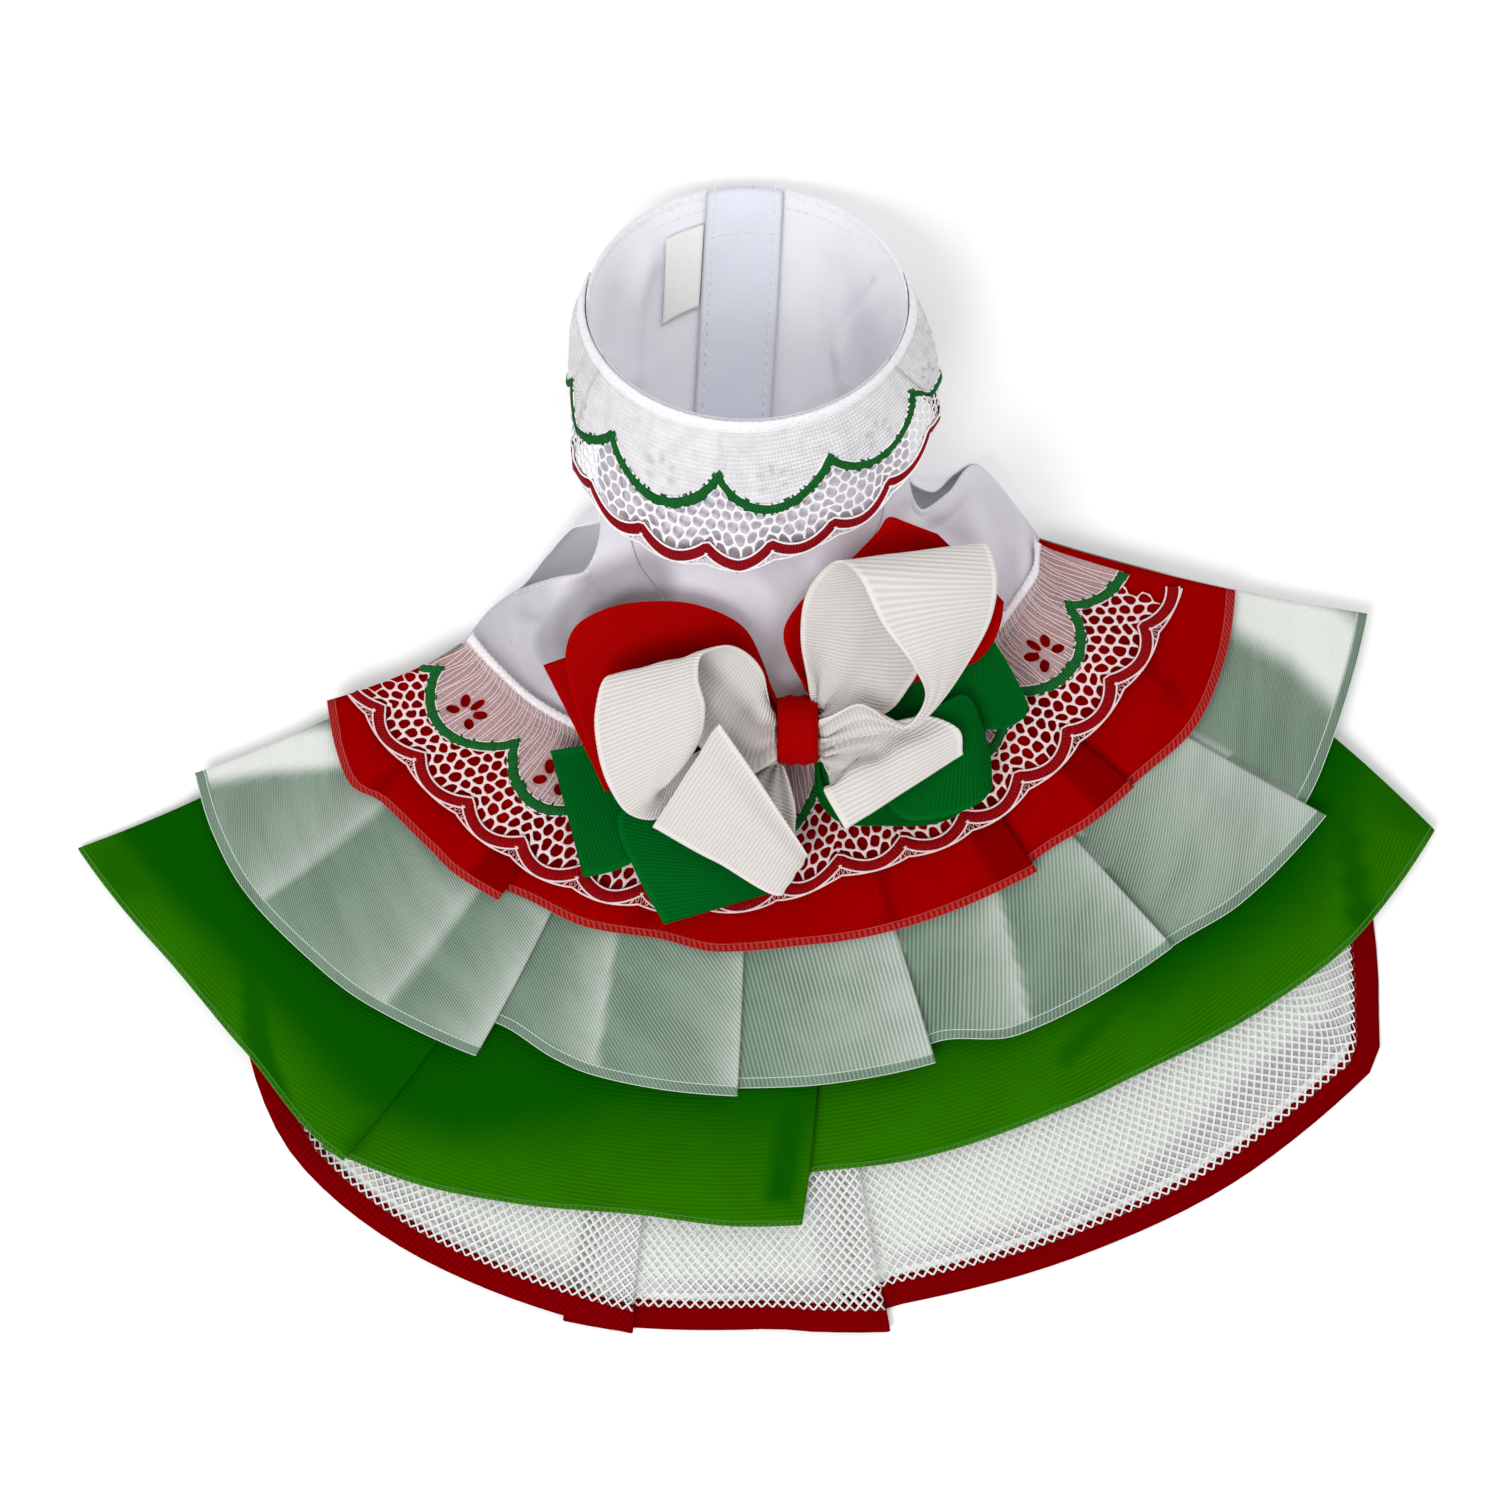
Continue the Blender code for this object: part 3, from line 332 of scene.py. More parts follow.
# Columns: edge x, y, z; other edge x, y, z; bulge
RIBBONS = {
    "bow_green_loop_left": [
        ((-54, -7, 22.3), (-44, -35, 21.8), 0),
        ((-66, -6, 22.2), (-56, -40, 21.7), 0),
        ((-72, -6, 23.6), (-62.5, -43, 22.9), 0),
        ((-66, -5, 25.2), (-53, -41, 24.3), 0),
        ((-50, -3, 25.6), (-42, -32, 25), 1),
        ((-30, -1, 26.2), (-29, -12, 26), 0.6),
        ((-6, 1, 27.6), (-6, -6, 27.4), 0.5),
    ],
    "bow_green_tail_left": [
        ((-6.2, -5.5, 25.2), (-6.1, -8.8, 25.2), 0),
        ((-28, -15.5, 28), (-8, -20, 25.2), 0),
        ((-52, -24, 27.6), (-13, -34, 26.6), 1.5),
        ((-47, -42, 25.4), (-6, -43, 24.6), 2),
        ((-39, -57, 21.4), (-4, -46.5, 22.6), 1),
    ],
    "bow_green_tail_right": [
        ((6, 8, 26.6), (6, 1, 26.6), 0.5),
        ((22, 15, 26.6), (24, 1, 26), 1),
        ((38, 24, 26.4), (42, 4, 25.2), 1),
        ((53, 30, 26), (55, 0.5, 23.6), 1.5),
        ((61, 20, 26), (62, 1, 23.4), 1),
        ((67.5, 8, 24.6), (67, 4, 24.2), 0),
    ],
    "bow_green_loop_right": [
        ((6, -5.5, 25.4), (5.9, -8.5, 25), 0),
        ((13, -12, 23.6), (6, -19, 23), 0),
        ((24, -10, 22.8), (11, -26, 22), 0),
        ((38, -8, 22.3), (24, -28, 21.8), 0),
        ((50, -8, 22.8), (46, -25.5, 22), 0),
        ((56.5, -8, 25.6), (57, -16, 25.2), 0.5),
        ((52, 6, 29.4), (54, -20.5, 29.2), 2),
        ((40, 7, 31), (32, -26, 31), 2),
        ((27, 1, 30.2), (24, -19, 30.4), 0.5),
    ],
    "bow_red_tail_left": [
        ((-74, 19, 24.6), (-53, 26, 27), 1),
        ((-64, -1, 27), (-44, 6, 27.6), 1),
        ((-56, -18, 27.8), (-37, -15, 28), 0.5),
    ],
    "bow_red_loop_left": [
        ((-6, 9, 31), (-6, 2, 30.2), 0.5),
        ((-10, 20, 31.6), (-16, 7, 30), 1.5),
        ((-16, 30, 32.5), (-24, 13, 29.8), 2),
        ((-29, 36, 33.4), (-31, 18, 29.8), 2.5),
        ((-42, 37, 33.4), (-39, 19, 29.8), 3),
        ((-55, 35, 33), (-45, 16, 30), 3),
        ((-64, 30, 32), (-48, 10, 30.2), 2.5),
        ((-67, 23, 30.6), (-46, 3, 30.2), 2),
        ((-64, 5, 30.2), (-43, -5, 30), 1.5),
        ((-59, -9, 29.8), (-39, -13, 29.6), 0.8),
        ((-53.5, -19, 29.6), (-36, -19, 29.5), 0.3),
    ],
    "bow_red_loop_right": [
        ((6.6, 9.4, 31), (6.2, 4.5, 30.6), 0.5),
        ((-1, 19, 32), (15, 10, 30), 1),
        ((-4, 27, 32.4), (27, 12, 29.4), 1.5),
        ((0, 36, 32.4), (38, 15, 29), 2),
        ((11, 45, 32.6), (48, 18, 28.8), 2.5),
        ((23, 57, 32.6), (55, 23, 28.9), 2.5),
        ((26.5, 61, 32.6), (57.5, 27, 29.2), 2.2),
        ((31, 59.4, 33.6), (58.8, 31, 29.8), 2),
        ((40, 56, 35), (59.5, 37, 31.6), 1.5),
    ],
    "bow_white_loop_left": [
        ((-6, -6.5, 34.2), (-6, 5.5, 36), 0.8),
        ((-15, -13, 33.6), (-8, 10, 38), 0.2),
        ((-24, -9, 33.8), (-10, 16, 40.5), -0.8),
        ((-33, 1, 35), (-14.5, 21.5, 43), -0.8),
        ((-47, 14, 38.5), (-22, 23.6, 46), -0.4),
        ((-55, 15, 43), (-27.5, 21, 50), 1),
        ((-58, 6, 44), (-28.5, 15, 52), 2.5),
        ((-57.5, -6, 43), (-26.5, 6, 51.5), 3.5),
        ((-54, -17, 40.5), (-29, -5, 49), 3),
        ((-49, -24, 37), (-36, -14, 44.5), 1.5),
        ((-43, -26, 33.4), (-37, -13, 35), 0),
        ((-30, -20, 31.2), (-26, -5, 31.6), 0),
        ((-15, -12, 30.6), (-15, -6.5, 31), 0),
        ((-6, -7.6, 30.6), (-6, -4.2, 31.2), 0),
    ],
    "bow_white_loop_right": [
        ((6, 2.5, 35), (6, 9, 35.8), 0.8),
        ((24, 4, 34.6), (1.5, 22, 36.4), 0),
        ((33, 13.5, 34.6), (1, 32, 36.4), 0),
        ((41, 32, 36.6), (4, 42, 38.8), 0),
        ((53.5, 53, 42.6), (13, 47.5, 45), 1),
        ((56, 46, 46.6), (17, 43.5, 50), 3),
        ((55, 32, 46), (24, 30, 51), 3),
        ((48.5, 19, 44), (33, 18, 50), 2),
        ((42, 9, 42), (36.5, 9.5, 46.5), 0.5),
        ((35.5, 2, 40), (31, 1.2, 42.6), 0),
        ((21, -2, 38.6), (18, 8, 41.6), 0),
        ((6, -4.2, 38), (6, 1, 40), 0),
    ],
    "bow_white_tail_left": [
        ((-7, -8.8, 28), (-4, -9.6, 28.8), 0),
        ((-15, -16, 28.5), (-1, -21, 28.8), 0.4),
        ((-7, -36, 27.6), (0, -33, 27.8), 0),
        ((-4, -46, 27.6), (3, -36.5, 29), 0.3),
        ((-24, -38, 33), (-9, -18, 42), 2.5),
        ((-42, -28, 35.6), (-22.5, 2, 54), 2),
    ],
    "bow_white_tail_right": [
        ((6, -5.4, 33.6), (6, -9, 33), 0.8),
        ((24, 1.5, 32.6), (9, -13.5, 32), 0.5),
        ((38, 4, 33.4), (9, -15.5, 33), -1),
        ((45, 1.5, 37.4), (7.5, -16.5, 36.5), -0.5),
        ((48, -7, 36.8), (14, -29, 34.4), 1),
    ],
}
PINCHED = ("bow_white_loop_left", "bow_white_loop_right", "bow_white_tail_right")
PINCH_DEPTH = 1.1
PINCH_REACH = 12.0

# Sizes of the fabrics that only the looks need
CAMERA_HEIGHT = 1.1
FRAME_WIDTH = 0.4536  # of the photo's frame on the table
THREAD = 0.55  # lace thread, drawn a little heavier than the real 0.4 so that it shows
NET_CELL = 3.1  # diamond of the petticoat's net
NET_THREAD = 0.36
LACE_CELL = 4.1
LACE_REPEAT = 2 * SCALLOP  # one pointed green wave for two red scallops
LACE_LENGTH_DOWN = 46.0
LACE_REACH = 49.0  # the lace is laid out to here, so its scallops have cloth to lie on
# First row shown, and how far right of the back's ridge its red and green waves start
NECK_RUN = (0.2, 3.5, -13.0)
# Columns: share of the way round; how far down the lace falls, of its width
NECK_DROP = [(0.0, 1.02), (0.28, 1.02), (0.42, 0.90), (0.55, 0.80), (0.68, 0.74), (1.0, 0.77)]
# The neck lace is sewn on gathered: its length at the rim and at its own edge, of its flat length
NECK_GATHER = (0.62, 0.94)
WAIST_TOP = 2.0  # the waist lace's first row, further down the strip where its heading is sewn under
WAIST_RUN = (2.5, 8.0, 4.0)
GREEN_WAVE = (18.0, 12.5)  # from the lace's top to the wave's points, and the wave's depth
RED_INSET = 1.9  # from the lace's scalloped edge in to the middle of its red line
SATIN_WIDTH = (2.8, 3.2)  # green and red satin lines
HEADING = 3.4
# Columns: turn; long; wide; from the flower's heart
PETALS = [
    (0, 5.2, 2.9, 4.6),
    (55, 4.8, 3.2, 4.8),
    (-56, 5.4, 3.3, 5.0),
    (112, 4.4, 3.0, 4.4),
    (-114, 4.8, 3.0, 4.5),
]
FLOWER_RISE = 8.5  # the flower's heart lies this far above the low of the green wave

# Soft ridges of the ruffles: how many to a turn, height, where they start, and how much they lean
RIPPLES = {
    "green": [(13, 0.20, 1.1, 0.012), (29, 0.13, 0.2, -0.010), (47, 0.06, 2.2, 0.01)],
    "white": [(17, 0.16, 0.6, 0.010), (38, 0.12, 1.9, -0.006), (66, 0.06, 0.7, 0.01)],
    "red": [(21, 0.18, 0.2, 0.012), (44, 0.12, 1.2, -0.01), (71, 0.06, 2.4, 0.006)],
}

# Long creases of the ruffles: layer, angle and radius of both ends, width and height
CREASES = [
    ("green", (306, 318), (222, 208), 4.0, 1.6),
    ("green", (299, 315), (228, 210), 4.5, -0.75),
    ("green", (228, 232.5), (180, 233), 4.0, 0.45),
    ("green", (224, 229), (190, 235), 6.0, -0.6),
    ("green", (263, 266), (200, 238), 5.0, 0.9),
    ("green", (258, 262), (205, 236), 7.0, -0.55),
    ("green", (285, 291), (205, 230), 6.5, -0.5),
    ("white", (222, 224), (150, 196), 4.0, 0.4),
    ("white", (236, 234), (150, 204), 4.0, -0.35),
    ("white", (286, 283), (165, 203), 3.5, -0.35),
    ("white", (304, 302), (170, 207), 4.0, 0.4),
    ("white", (322, 320), (170, 214), 4.0, 0.35),
    ("white", (337, 335), (150, 204), 4.0, -0.35),
    ("red", (229, 228), (138, 155), 3.0, -0.4),
    ("red", (262, 261), (148, 158), 3.0, -0.35),
    ("red", (288, 287), (145, 162), 3.0, 0.35),
]

# Where organza lies double beside a fold it is paler, and beyond the fold it sinks into a dip of painted
# shade: the fold's angle at its top and at the hem, how far the paler side and the darker side reach, and
# whether the solid is pleated there
PLIES = [
    ((230.0, 227.0), 9, 12, False),
    ((243.9, 241.0), 9, 10, False),
    ((252.6, 249.1), 8, 12, True),
    ((259.2, 259.7), 8, 14, False),
    ((273.9, 271.6), 6, 18, True),
    ((290.5, 288.3), 26, 10, True),
    ((300.9, 297.1), 9, 16, False),
    ((312.0, 309.9), 9, 8, True),
    ((326.5, 327.1), 34, 12, True),
]
# How far in from its hem the green organza grows to its full depth, at angles of the fan
DEEPENING = [(215, 14), (250, 22), (262, 42), (298, 46), (306, 26), (320, 26), (336, 40)]
# Shades of the cloth: layer, line of angles and radii, half width and tone. On the poplin they are painted
# shade over its shoulders and in its creases; on the green and red organza they deepen it, painted shade
# along creases and folds, and on the green also where it lies in more layers; on the white organza they make
# it paler.
SHADES = [
    ("green", ((316.5, 207.6), (309.5, 210.5), (303.7, 213.5), (298.0, 219.0)), 4.5, 0.68),
    ("green", ((246.5, 204.9), (243.6, 244.0)), 5.0, 0.68),
    ("green", ((258.5, 201.3), (258.4, 213.7)), 2.5, 0.5),
    ("green", ((276.5, 200.0), (275.8, 215.0), (274.6, 232.0)), 8.5, 0.85),
    ("green", ((330.0, 200.0), (329.6, 246.7)), 7.0, 0.58),
    ("green", ((219.0, 190.0), (217.6, 222.0)), 16.0, 0.55),
    ("white", ((222.0, 150.0), (217.0, 170.0), (214.0, 190.0)), 9.0, 1.0),
    ("white", ((342.0, 150.0), (339.5, 190.0), (336.5, 216.0)), 17.0, 1.0),
    ("red", ((229, 138), (228, 155)), 2.5, 0.6),
    ("red", ((262, 148), (261, 158)), 2.5, 0.5),
    ("red", ((289.5, 145), (288.5, 162)), 3.0, 0.6),
    ("red", ((331, 130), (327.5, 162)), 3.0, 0.5),
    ("poplin", ((236.5, 84), (240, 66), (248, 57)), 13.0, 0.95),
    ("poplin", ((218, 84), (232, 92)), 22.0, 0.5),
    ("poplin", ((289, 48), (293, 62), (287, 76)), 9.0, 0.35),
]

# More folds of the bodice than its solid has: the line along which each runs, in millimetres, its half
# width and its height
SMALL_BACK_FOLDS = [
    (((-63.5, 42.5), (-53.5, 50), (-44.5, 54.5)), 3.2, -1.5),
    (((-70, 49), (-60, 50.5), (-51, 52.8)), 2.4, 1.0),
    (((-70.5, 47), (-70.5, 35)), 3.0, 1.6),
    (((-54.5, 41), (-50, 50)), 2.6, -1.8),
    (((-60, 36), (-58, 45)), 3.0, 1.5),
    (((-46, 46), (-39.5, 57)), 3.6, -1.6),
    (((45.5, 71.5), (55, 66), (64, 61.5)), 3.6, -1.2),
    (((60.5, 83), (64, 67), (66, 56)), 4.2, 1.1),
    (((71.5, 68), (72, 57), (71, 46)), 3.4, -0.8),
    (((79, 60), (80, 50)), 3.0, 0.7),
    (((-12, 60), (4, 57), (20, 62)), 5.0, -0.6),
]
SMALL_CHEST_FOLDS = [
    (((-32, 147), (-35.5, 134), (-36.5, 112)), 2.6, 1.6),
    (((-29, 145), (-32.5, 132), (-33.5, 118)), 2.2, -1.0),
    (((-41, 136), (-42, 122)), 2.6, -0.9),
    (((34, 141), (25.5, 130), (20.7, 121.6), (23, 116), (22, 108)), 1.9, -1.7),
    (((37.5, 138), (28.5, 127), (25.3, 120), (27, 110)), 2.6, 1.3),
    (((20.7, 148), (17.7, 131)), 2.8, -0.9),
    (((13.8, 110.5), (20.5, 119)), 1.8, -1.0),
    (((40, 128), (39, 112)), 2.4, 0.9),
]
# The neck lace's flutes: where along it, half their length, and how far they stand off
FLUTES = [(0, 14, 4.0), (107, 10, 6.5), (78, 7, 1.2), (52, 9, 0.8)]
# How far the ribs of a ribbon lean from square to its edges, at each of its sections
RIB_LEAN = {
    "bow_white_loop_right": (0.4, 0.5, 0.5, 0.45, 0.3, 0.1, -0.1, -0.3, -0.3, -0.3, -0.2, -0.1),
}
PINCH_FOLDS = (2.6, 2.0, 22.0)  # folds across a ribbon at the knot, their height, and how far they reach

# Ribbon's columns, closer near its selvedges, and the looks' sizes in metres
RIBBON_SHARES = np.array(
    [0, 0.018, 0.036, 0.05, 0.12, 0.22, 0.32, 0.42, 0.5, 0.58, 0.68, 0.78, 0.88, 0.95, 0.964, 0.982, 1]
)
SELVEDGE = 0.463  # the selvedge starts this share of the ribbon's width from its middle
# Grosgrain: rib against the white ribbon's, shade of its grooves, and height of its ribs
GROSGRAIN = (("white", 1.0, 0.82, 0.0002), ("red", 0.8, 0.86, 0.00012), ("green", 0.8, 0.72, 0.00016))
BINDING_WALL = 0.0007
# Stitches: step, length and thickness. The length of the poplin's is one of the sizes in the sidebar
BINDING_STITCHES = (0.003, 0.0021, 0.0004)
PLACKET_STITCHES = (0.003, 0.0021, 0.0006)
POPLIN_STEP = 0.0027
POPLIN_THREAD = 0.00035
HEM_THREAD = 0.00016
CLOTH_PATCHES = (0.03, 0.35, 0.65)  # size of the soft patches, and the levels that they are read between
POPLIN_WEAVE = 0.0009  # its real thread lies 0.3 mm apart and is drawn wider, so that it shows
ORGANZA_RIB = 0.0013
HEM_HATCH = 0.0017

# Ruffles: hem, angles of the waist's ends, how far in the hem's drop starts, degrees from column to column,
# width of the hem's own tone, and that tone
RUFFLES = {
    "green": (GREEN_HEM, (222.9, 338.0), 45, 1.2, 1.2, 0.8),
    "white": (WHITE_HEM, (222.7, 338.3), 20, 0.6, 2.8, 0.15),
    "red": (RED_HEM, (223.0, 338.0), 20, 1.2, 2.2, 0.4),
}
# Organza: colours where it is doubled, which on the green and red also carry the painted shade from SHADES,
# at its frayed hem and of its hem's thread, then alpha, and its ribs' way and contrast
ORGANZA = {
    "green": ("#004C00", "#4E8C26", "#347C14", 0.96, "Y", 0.35),
    "white": ("#ECEFEA", "#5F7B69", "#C6D3C9", 0.9, "X", 0.8),
    "red": ("#6C0000", "#B85A52", "#B0201A", 0.96, "X", 0.2),
}
PETTICOAT_SPACING = 1.6  # degrees from column to column of the net and its binding
NET_SHARES = (1.014, 0.30)  # the diamonds run from just past the net's edge to this share of its way down
SECTION_ROWS = 110  # rows of points down the bodice's panels
RIPPLE_ROOM = 0.45  # ruffles ripple this far up and down between their neighbours
HEM_ROOM = 1.6  # and this much further up near their hems, where nothing lies over them
FOLD_EDGE = 0.5  # degrees over which the tone of a doubled pleat fades
# The darker side beyond a fold is painted shade.
PLY_TONES = (0.07, 0.48, 0.15)  # of the white organza itself, and how much paler and darker beside its folds
PLY_START = 155  # radius at which its folds start
PLY_REACH = 48  # and how far out they run
PLY_EDGE = 2.6  # width of the step from pale to dark

SKY_STRENGTH = 0.70
# Lamps aimed at the origin: name, place, size and power
LAMPS = (("key softbox", (-0.5, -0.75, 1.2), 0.8, 12.0), ("fill softbox", (0.6, 0.9, 1.2), 1.2, 5.0))


def linear(hex_colour):
    """An sRGB hex colour as linear red, green, blue and full alpha."""
    parts = [int(hex_colour[i : i + 2], 16) / 255 for i in (1, 3, 5)]
    return tuple(c / 12.92 if c <= 0.04045 else ((c + 0.055) / 1.055) ** 2.4 for c in parts) + (1.0,)


def colour_choice(name, about, hex_colour):
    return bpy.props.FloatVectorProperty(
        name=name, description=about, subtype="COLOR", size=4, min=0, max=1, default=linear(hex_colour)
    )


def size_choice(name, about, least, default):
    return bpy.props.FloatProperty(
        name=name, description=about, subtype="DISTANCE", min=least, default=default
    )


class FabricColours(bpy.types.PropertyGroup):
    """Colours of the dress's fabrics"""

    poplin: colour_choice("Poplin", "White of the bodice", "#DCD8E1")
    lace: colour_choice("Lace", "White of the lace", "#F3F0F4")
    green_satin: colour_choice("Green thread", "Lace's green line", "#1C7030")
    red_satin: colour_choice("Red thread", "Lace's red line", "#A40C1A")
    organza_red: colour_choice("Red organza", "Top ruffle", "#990000")
    organza_white: colour_choice("White organza", "Middle ruffle", "#88A08D")
    organza_green: colour_choice("Green organza", "Low ruffle", "#286E00")
    binding: colour_choice("Binding", "Petticoat's edge", "#740003")
    ribbon_white: colour_choice("White ribbon", "Bow", "#DAD5D1")
    ribbon_red: colour_choice("Red ribbon", "Bow", "#9B0000")
    ribbon_green: colour_choice("Green ribbon", "Bow", "#005A1A")


class FabricSizes(bpy.types.PropertyGroup):
    """Sizes of the dress's threads and ribs, in metres"""

    rib: size_choice("Ribbon rib", "From rib to rib of the grosgrain", 0.0005, 0.00125)
    net_cell: size_choice("Net diamond", "Across one diamond of the net", 0.002, NET_CELL * MM)
    lace_cell: size_choice("Lace mesh", "Across one mesh of the lace", 0.002, LACE_CELL * MM)
    stitch: size_choice("Stitch", "Length of one stitch", 0.001, 0.0019)
    wall: size_choice("Cloth wall", "Thickness of the cloth shells", 0.0002, 0.0005)


def eased(values, slope, place, span, part):
    """The curve between each pair of values, given its slope at both."""
    start, end = values[place], values[place + 1]
    lead, trail = slope[place] * span, slope[place + 1] * span
    bend = (2 * start - 2 * end + lead + trail) * part**3
    return bend + (3 * end - 3 * start - 2 * lead - trail) * part**2 + lead * part + start


def glide(knots, values, at):
    """A smooth line through the values that never overshoots them, read at each place in at."""
    knots, values = np.asarray(knots, float), np.asarray(values, float)
    at = np.clip(np.asarray(at, float), knots[0], knots[-1])
    gaps = np.diff(knots)
    shape = (-1,) + (1,) * (values.ndim - 1)
    rise = np.diff(values, axis=0) / gaps.reshape(shape)
    slope = np.zeros_like(values)
    if len(knots) > 2:
        same = rise[:-1] * rise[1:] > 0
        total = np.where(same, rise[:-1] + rise[1:], 1)
        slope[1:-1] = np.where(same, 2 * rise[:-1] * rise[1:] / total, 0)
    slope[0], slope[-1] = rise[0], rise[-1]
    place = np.clip(np.searchsorted(knots, at, side="right") - 1, 0, len(gaps) - 1)
    part = ((at - knots[place]) / gaps[place]).reshape(shape)
    return eased(values, slope, place, gaps[place].reshape(shape), part)


def through(knots, values, at):
    """A rounder line than glide gives, for ribbon that curls past its points."""
    knots, values = np.asarray(knots, float), np.asarray(values, float)
    slope = np.gradient(values, knots, axis=0)
    place = np.clip(np.searchsorted(knots, at, side="right") - 1, 0, len(knots) - 2)
    span = (knots[place + 1] - knots[place])[:, None]
    return eased(values, slope, place, span, ((at - knots[place]) / span[:, 0])[:, None])


def soft_step(share):
    share = np.clip(share, 0, 1)
    return share * share * (3 - 2 * share)


def run_of(line):
    """Length along a line of points to each of them."""
    return np.concatenate([[0], np.cumsum(np.linalg.norm(np.diff(line, axis=0), axis=1))])


def depths_of(points):
    """Length down each column of a grid to each of its rows."""
    steps = np.linalg.norm(np.diff(points, axis=0), axis=2)
    return np.vstack([np.zeros(points.shape[1]), np.cumsum(steps, axis=0)])


def fan_points(angle, out):
    """Places on the table at angles and radii of the fan."""
    spot = np.radians(angle)
    return np.stack([FAN[0] + out * np.cos(spot), FAN[1] + out * np.sin(spot)], axis=-1)


def fan_angle(points):
    return np.degrees(np.arctan2(points[..., 1] - FAN[1], points[..., 0] - FAN[0])) % 360


def fan_reach(points):
    return np.hypot(points[..., 1] - FAN[1], points[..., 0] - FAN[0])


def sideways(angle, step):
    """A step round the fan at each angle."""
    spot = np.radians(angle)
    return np.stack([-np.sin(spot), np.cos(spot)], axis=1) * step[:, None]


def waist_radius(angle):
    knots, radii = zip(*WAIST)
    return glide(knots, radii, np.atleast_1d(angle))


def layer_height(layer, angle):
    """Middle height of a layer of the skirt, which sinks where the stack of pleats thins out."""
    low, high = LAYER_HEIGHTS[layer]
    full = soft_step((angle - ENDS[0]) / (ENDS[1] - ENDS[0]))
    full = full * soft_step((ENDS[3] - angle) / (ENDS[3] - ENDS[2]))
    return low + (high - low) * full


def walk_hem(rows, spacing):
    """Angle, radius, lift, drop and sideways bulge of each column of a pleated hem."""
    columns = []
    runs, run = [], [rows[0]]
    for row in rows[1:]:
        if row[0] == run[-1][0]:
            runs.append(run)
            run = []
        run.append(row)
    runs.append(run)
    for index, run in enumerate(runs):
        angles = np.array([row[0] for row in run], float)
        way = 1 if angles[-1] > angles[0] else -1
        steps = max(2, math.ceil(abs(angles[-1] - angles[0]) / spacing))
        at = np.linspace(angles[0], angles[-1], steps + 1)
        read = glide(angles * way, [row[1:] for row in run], at * way)
        columns += [(a, r, level * STACK, drop, 0.0) for a, (r, level, drop) in zip(at, read)]
        if index + 1 < len(runs):
            turn = runs[index + 1][0]
            middle = (run[-1][2] + turn[2]) / 2 * STACK
            half = (run[-1][2] - turn[2]) / 2 * STACK
            for share in (0.25, 0.5, 0.75):
                lean = math.pi * (0.5 - share)
                bulge = way * abs(half) * math.cos(lean)
                columns.append((turn[0], turn[1], middle + half * math.sin(lean), turn[3], bulge))
    return np.array(columns)


def skirt_points(layer, columns, shares, waist_ends, drop_reach):
    """Points of a skirt layer, a row for each share of the way from the waist to the hem."""
    angle, radius, lift, drop, bulge = columns.T
    low, high = angle.min(), angle.max()
    waist_angle = waist_ends[0] + (angle - low) / (high - low) * (waist_ends[1] - waist_ends[0])
    inner = waist_radius(waist_angle) + SEAM
    points = []
    for share in shares:
        out = inner + (radius - inner) * share
        turned = waist_angle + (angle - waist_angle) * share + np.degrees(bulge / out)
        fall = drop * soft_step(1 - (radius - out) / drop_reach)
        points.append(np.column_stack([fan_points(turned, out), layer_height(layer, turned) + lift - fall]))
    return np.array(points)


def petticoat_outline(spacing, steps):
    """Outer edge of the petticoat: down its left side, along the pleated hem and up its right side."""
    hem = walk_hem(NET_HEM, spacing)
    shares = np.linspace(0, 0.85, steps)
    sides = []
    for top, corner, down in (
        (WAIST_ENDS[0], hem[0], shares),
        (WAIST_ENDS[1] - SIDE_INSET, hem[-1], shares[::-1]),
    ):
        turned = top + (corner[0] - top) * down
        inner = waist_radius(turned) + CLOTH
        level = np.zeros(steps)
        radius = inner + (corner[1] - inner) * down
        sides.append(np.column_stack([turned, radius, level, SIDE_DROP * down, level]))
    return np.concatenate([sides[0], hem, sides[1]])


def edge_and_inward(outline):
    """The outline's points and, at each, the direction into the petticoat."""
    angle, radius, _, _, bulge = outline.T
    spot = np.radians(angle)
    radial = np.stack([np.cos(spot), np.sin(spot)], axis=1)
    edge, middle = fan_points(angle, radius), fan_points(*PETTICOAT_MIDDLE)
    inward = np.zeros_like(edge)
    for i in range(len(edge)):
        ahead = edge[min(i + 2, len(edge) - 1)] - edge[max(i - 2, 0)]
        along = ahead / max(np.linalg.norm(ahead), 1e-9)
        side = np.array([-along[1], along[0]])
        if side @ (middle - edge[i]) < 0:
            side = -side
        folded = abs(bulge[i]) > 0 or PLEATED[0] < angle[i] < PLEATED[1]
        inward[i] = -radial[i] if folded else side
    return edge, inward


def net_points(spacing, steps, shares):
    """The net fills the petticoat up to the binding's inner edge."""
    outline = petticoat_outline(spacing, steps)
    edge, inward = edge_and_inward(outline)
    edge = (edge + inward * (BINDING_WIDTH + SEAM))[steps:-steps]
    angle, _, lift, drop, bulge = outline[steps:-steps].T
    part = (angle - angle.min()) / (angle.max() - angle.min())
    room = np.degrees((BINDING_WIDTH + SEAM) / WAIST[0][1]) * (1 - 2 * part)
    waist_angle = WAIST_ENDS[0] + (WAIST_ENDS[1] - SIDE_INSET - WAIST_ENDS[0]) * part + room
    waist = fan_points(waist_angle, waist_radius(waist_angle) + SEAM)
    points = []
    for share in shares:
        flat = waist + (edge - waist) * share
        turned = fan_angle(flat)
        left_over = np.linalg.norm(edge - waist, axis=1) * (1 - share)
        height = layer_height("net", turned) + lift - drop * soft_step(1 - left_over / NET_DROP)
        points.append(np.column_stack([flat + sideways(turned, bulge), height]))
    return np.array(points)


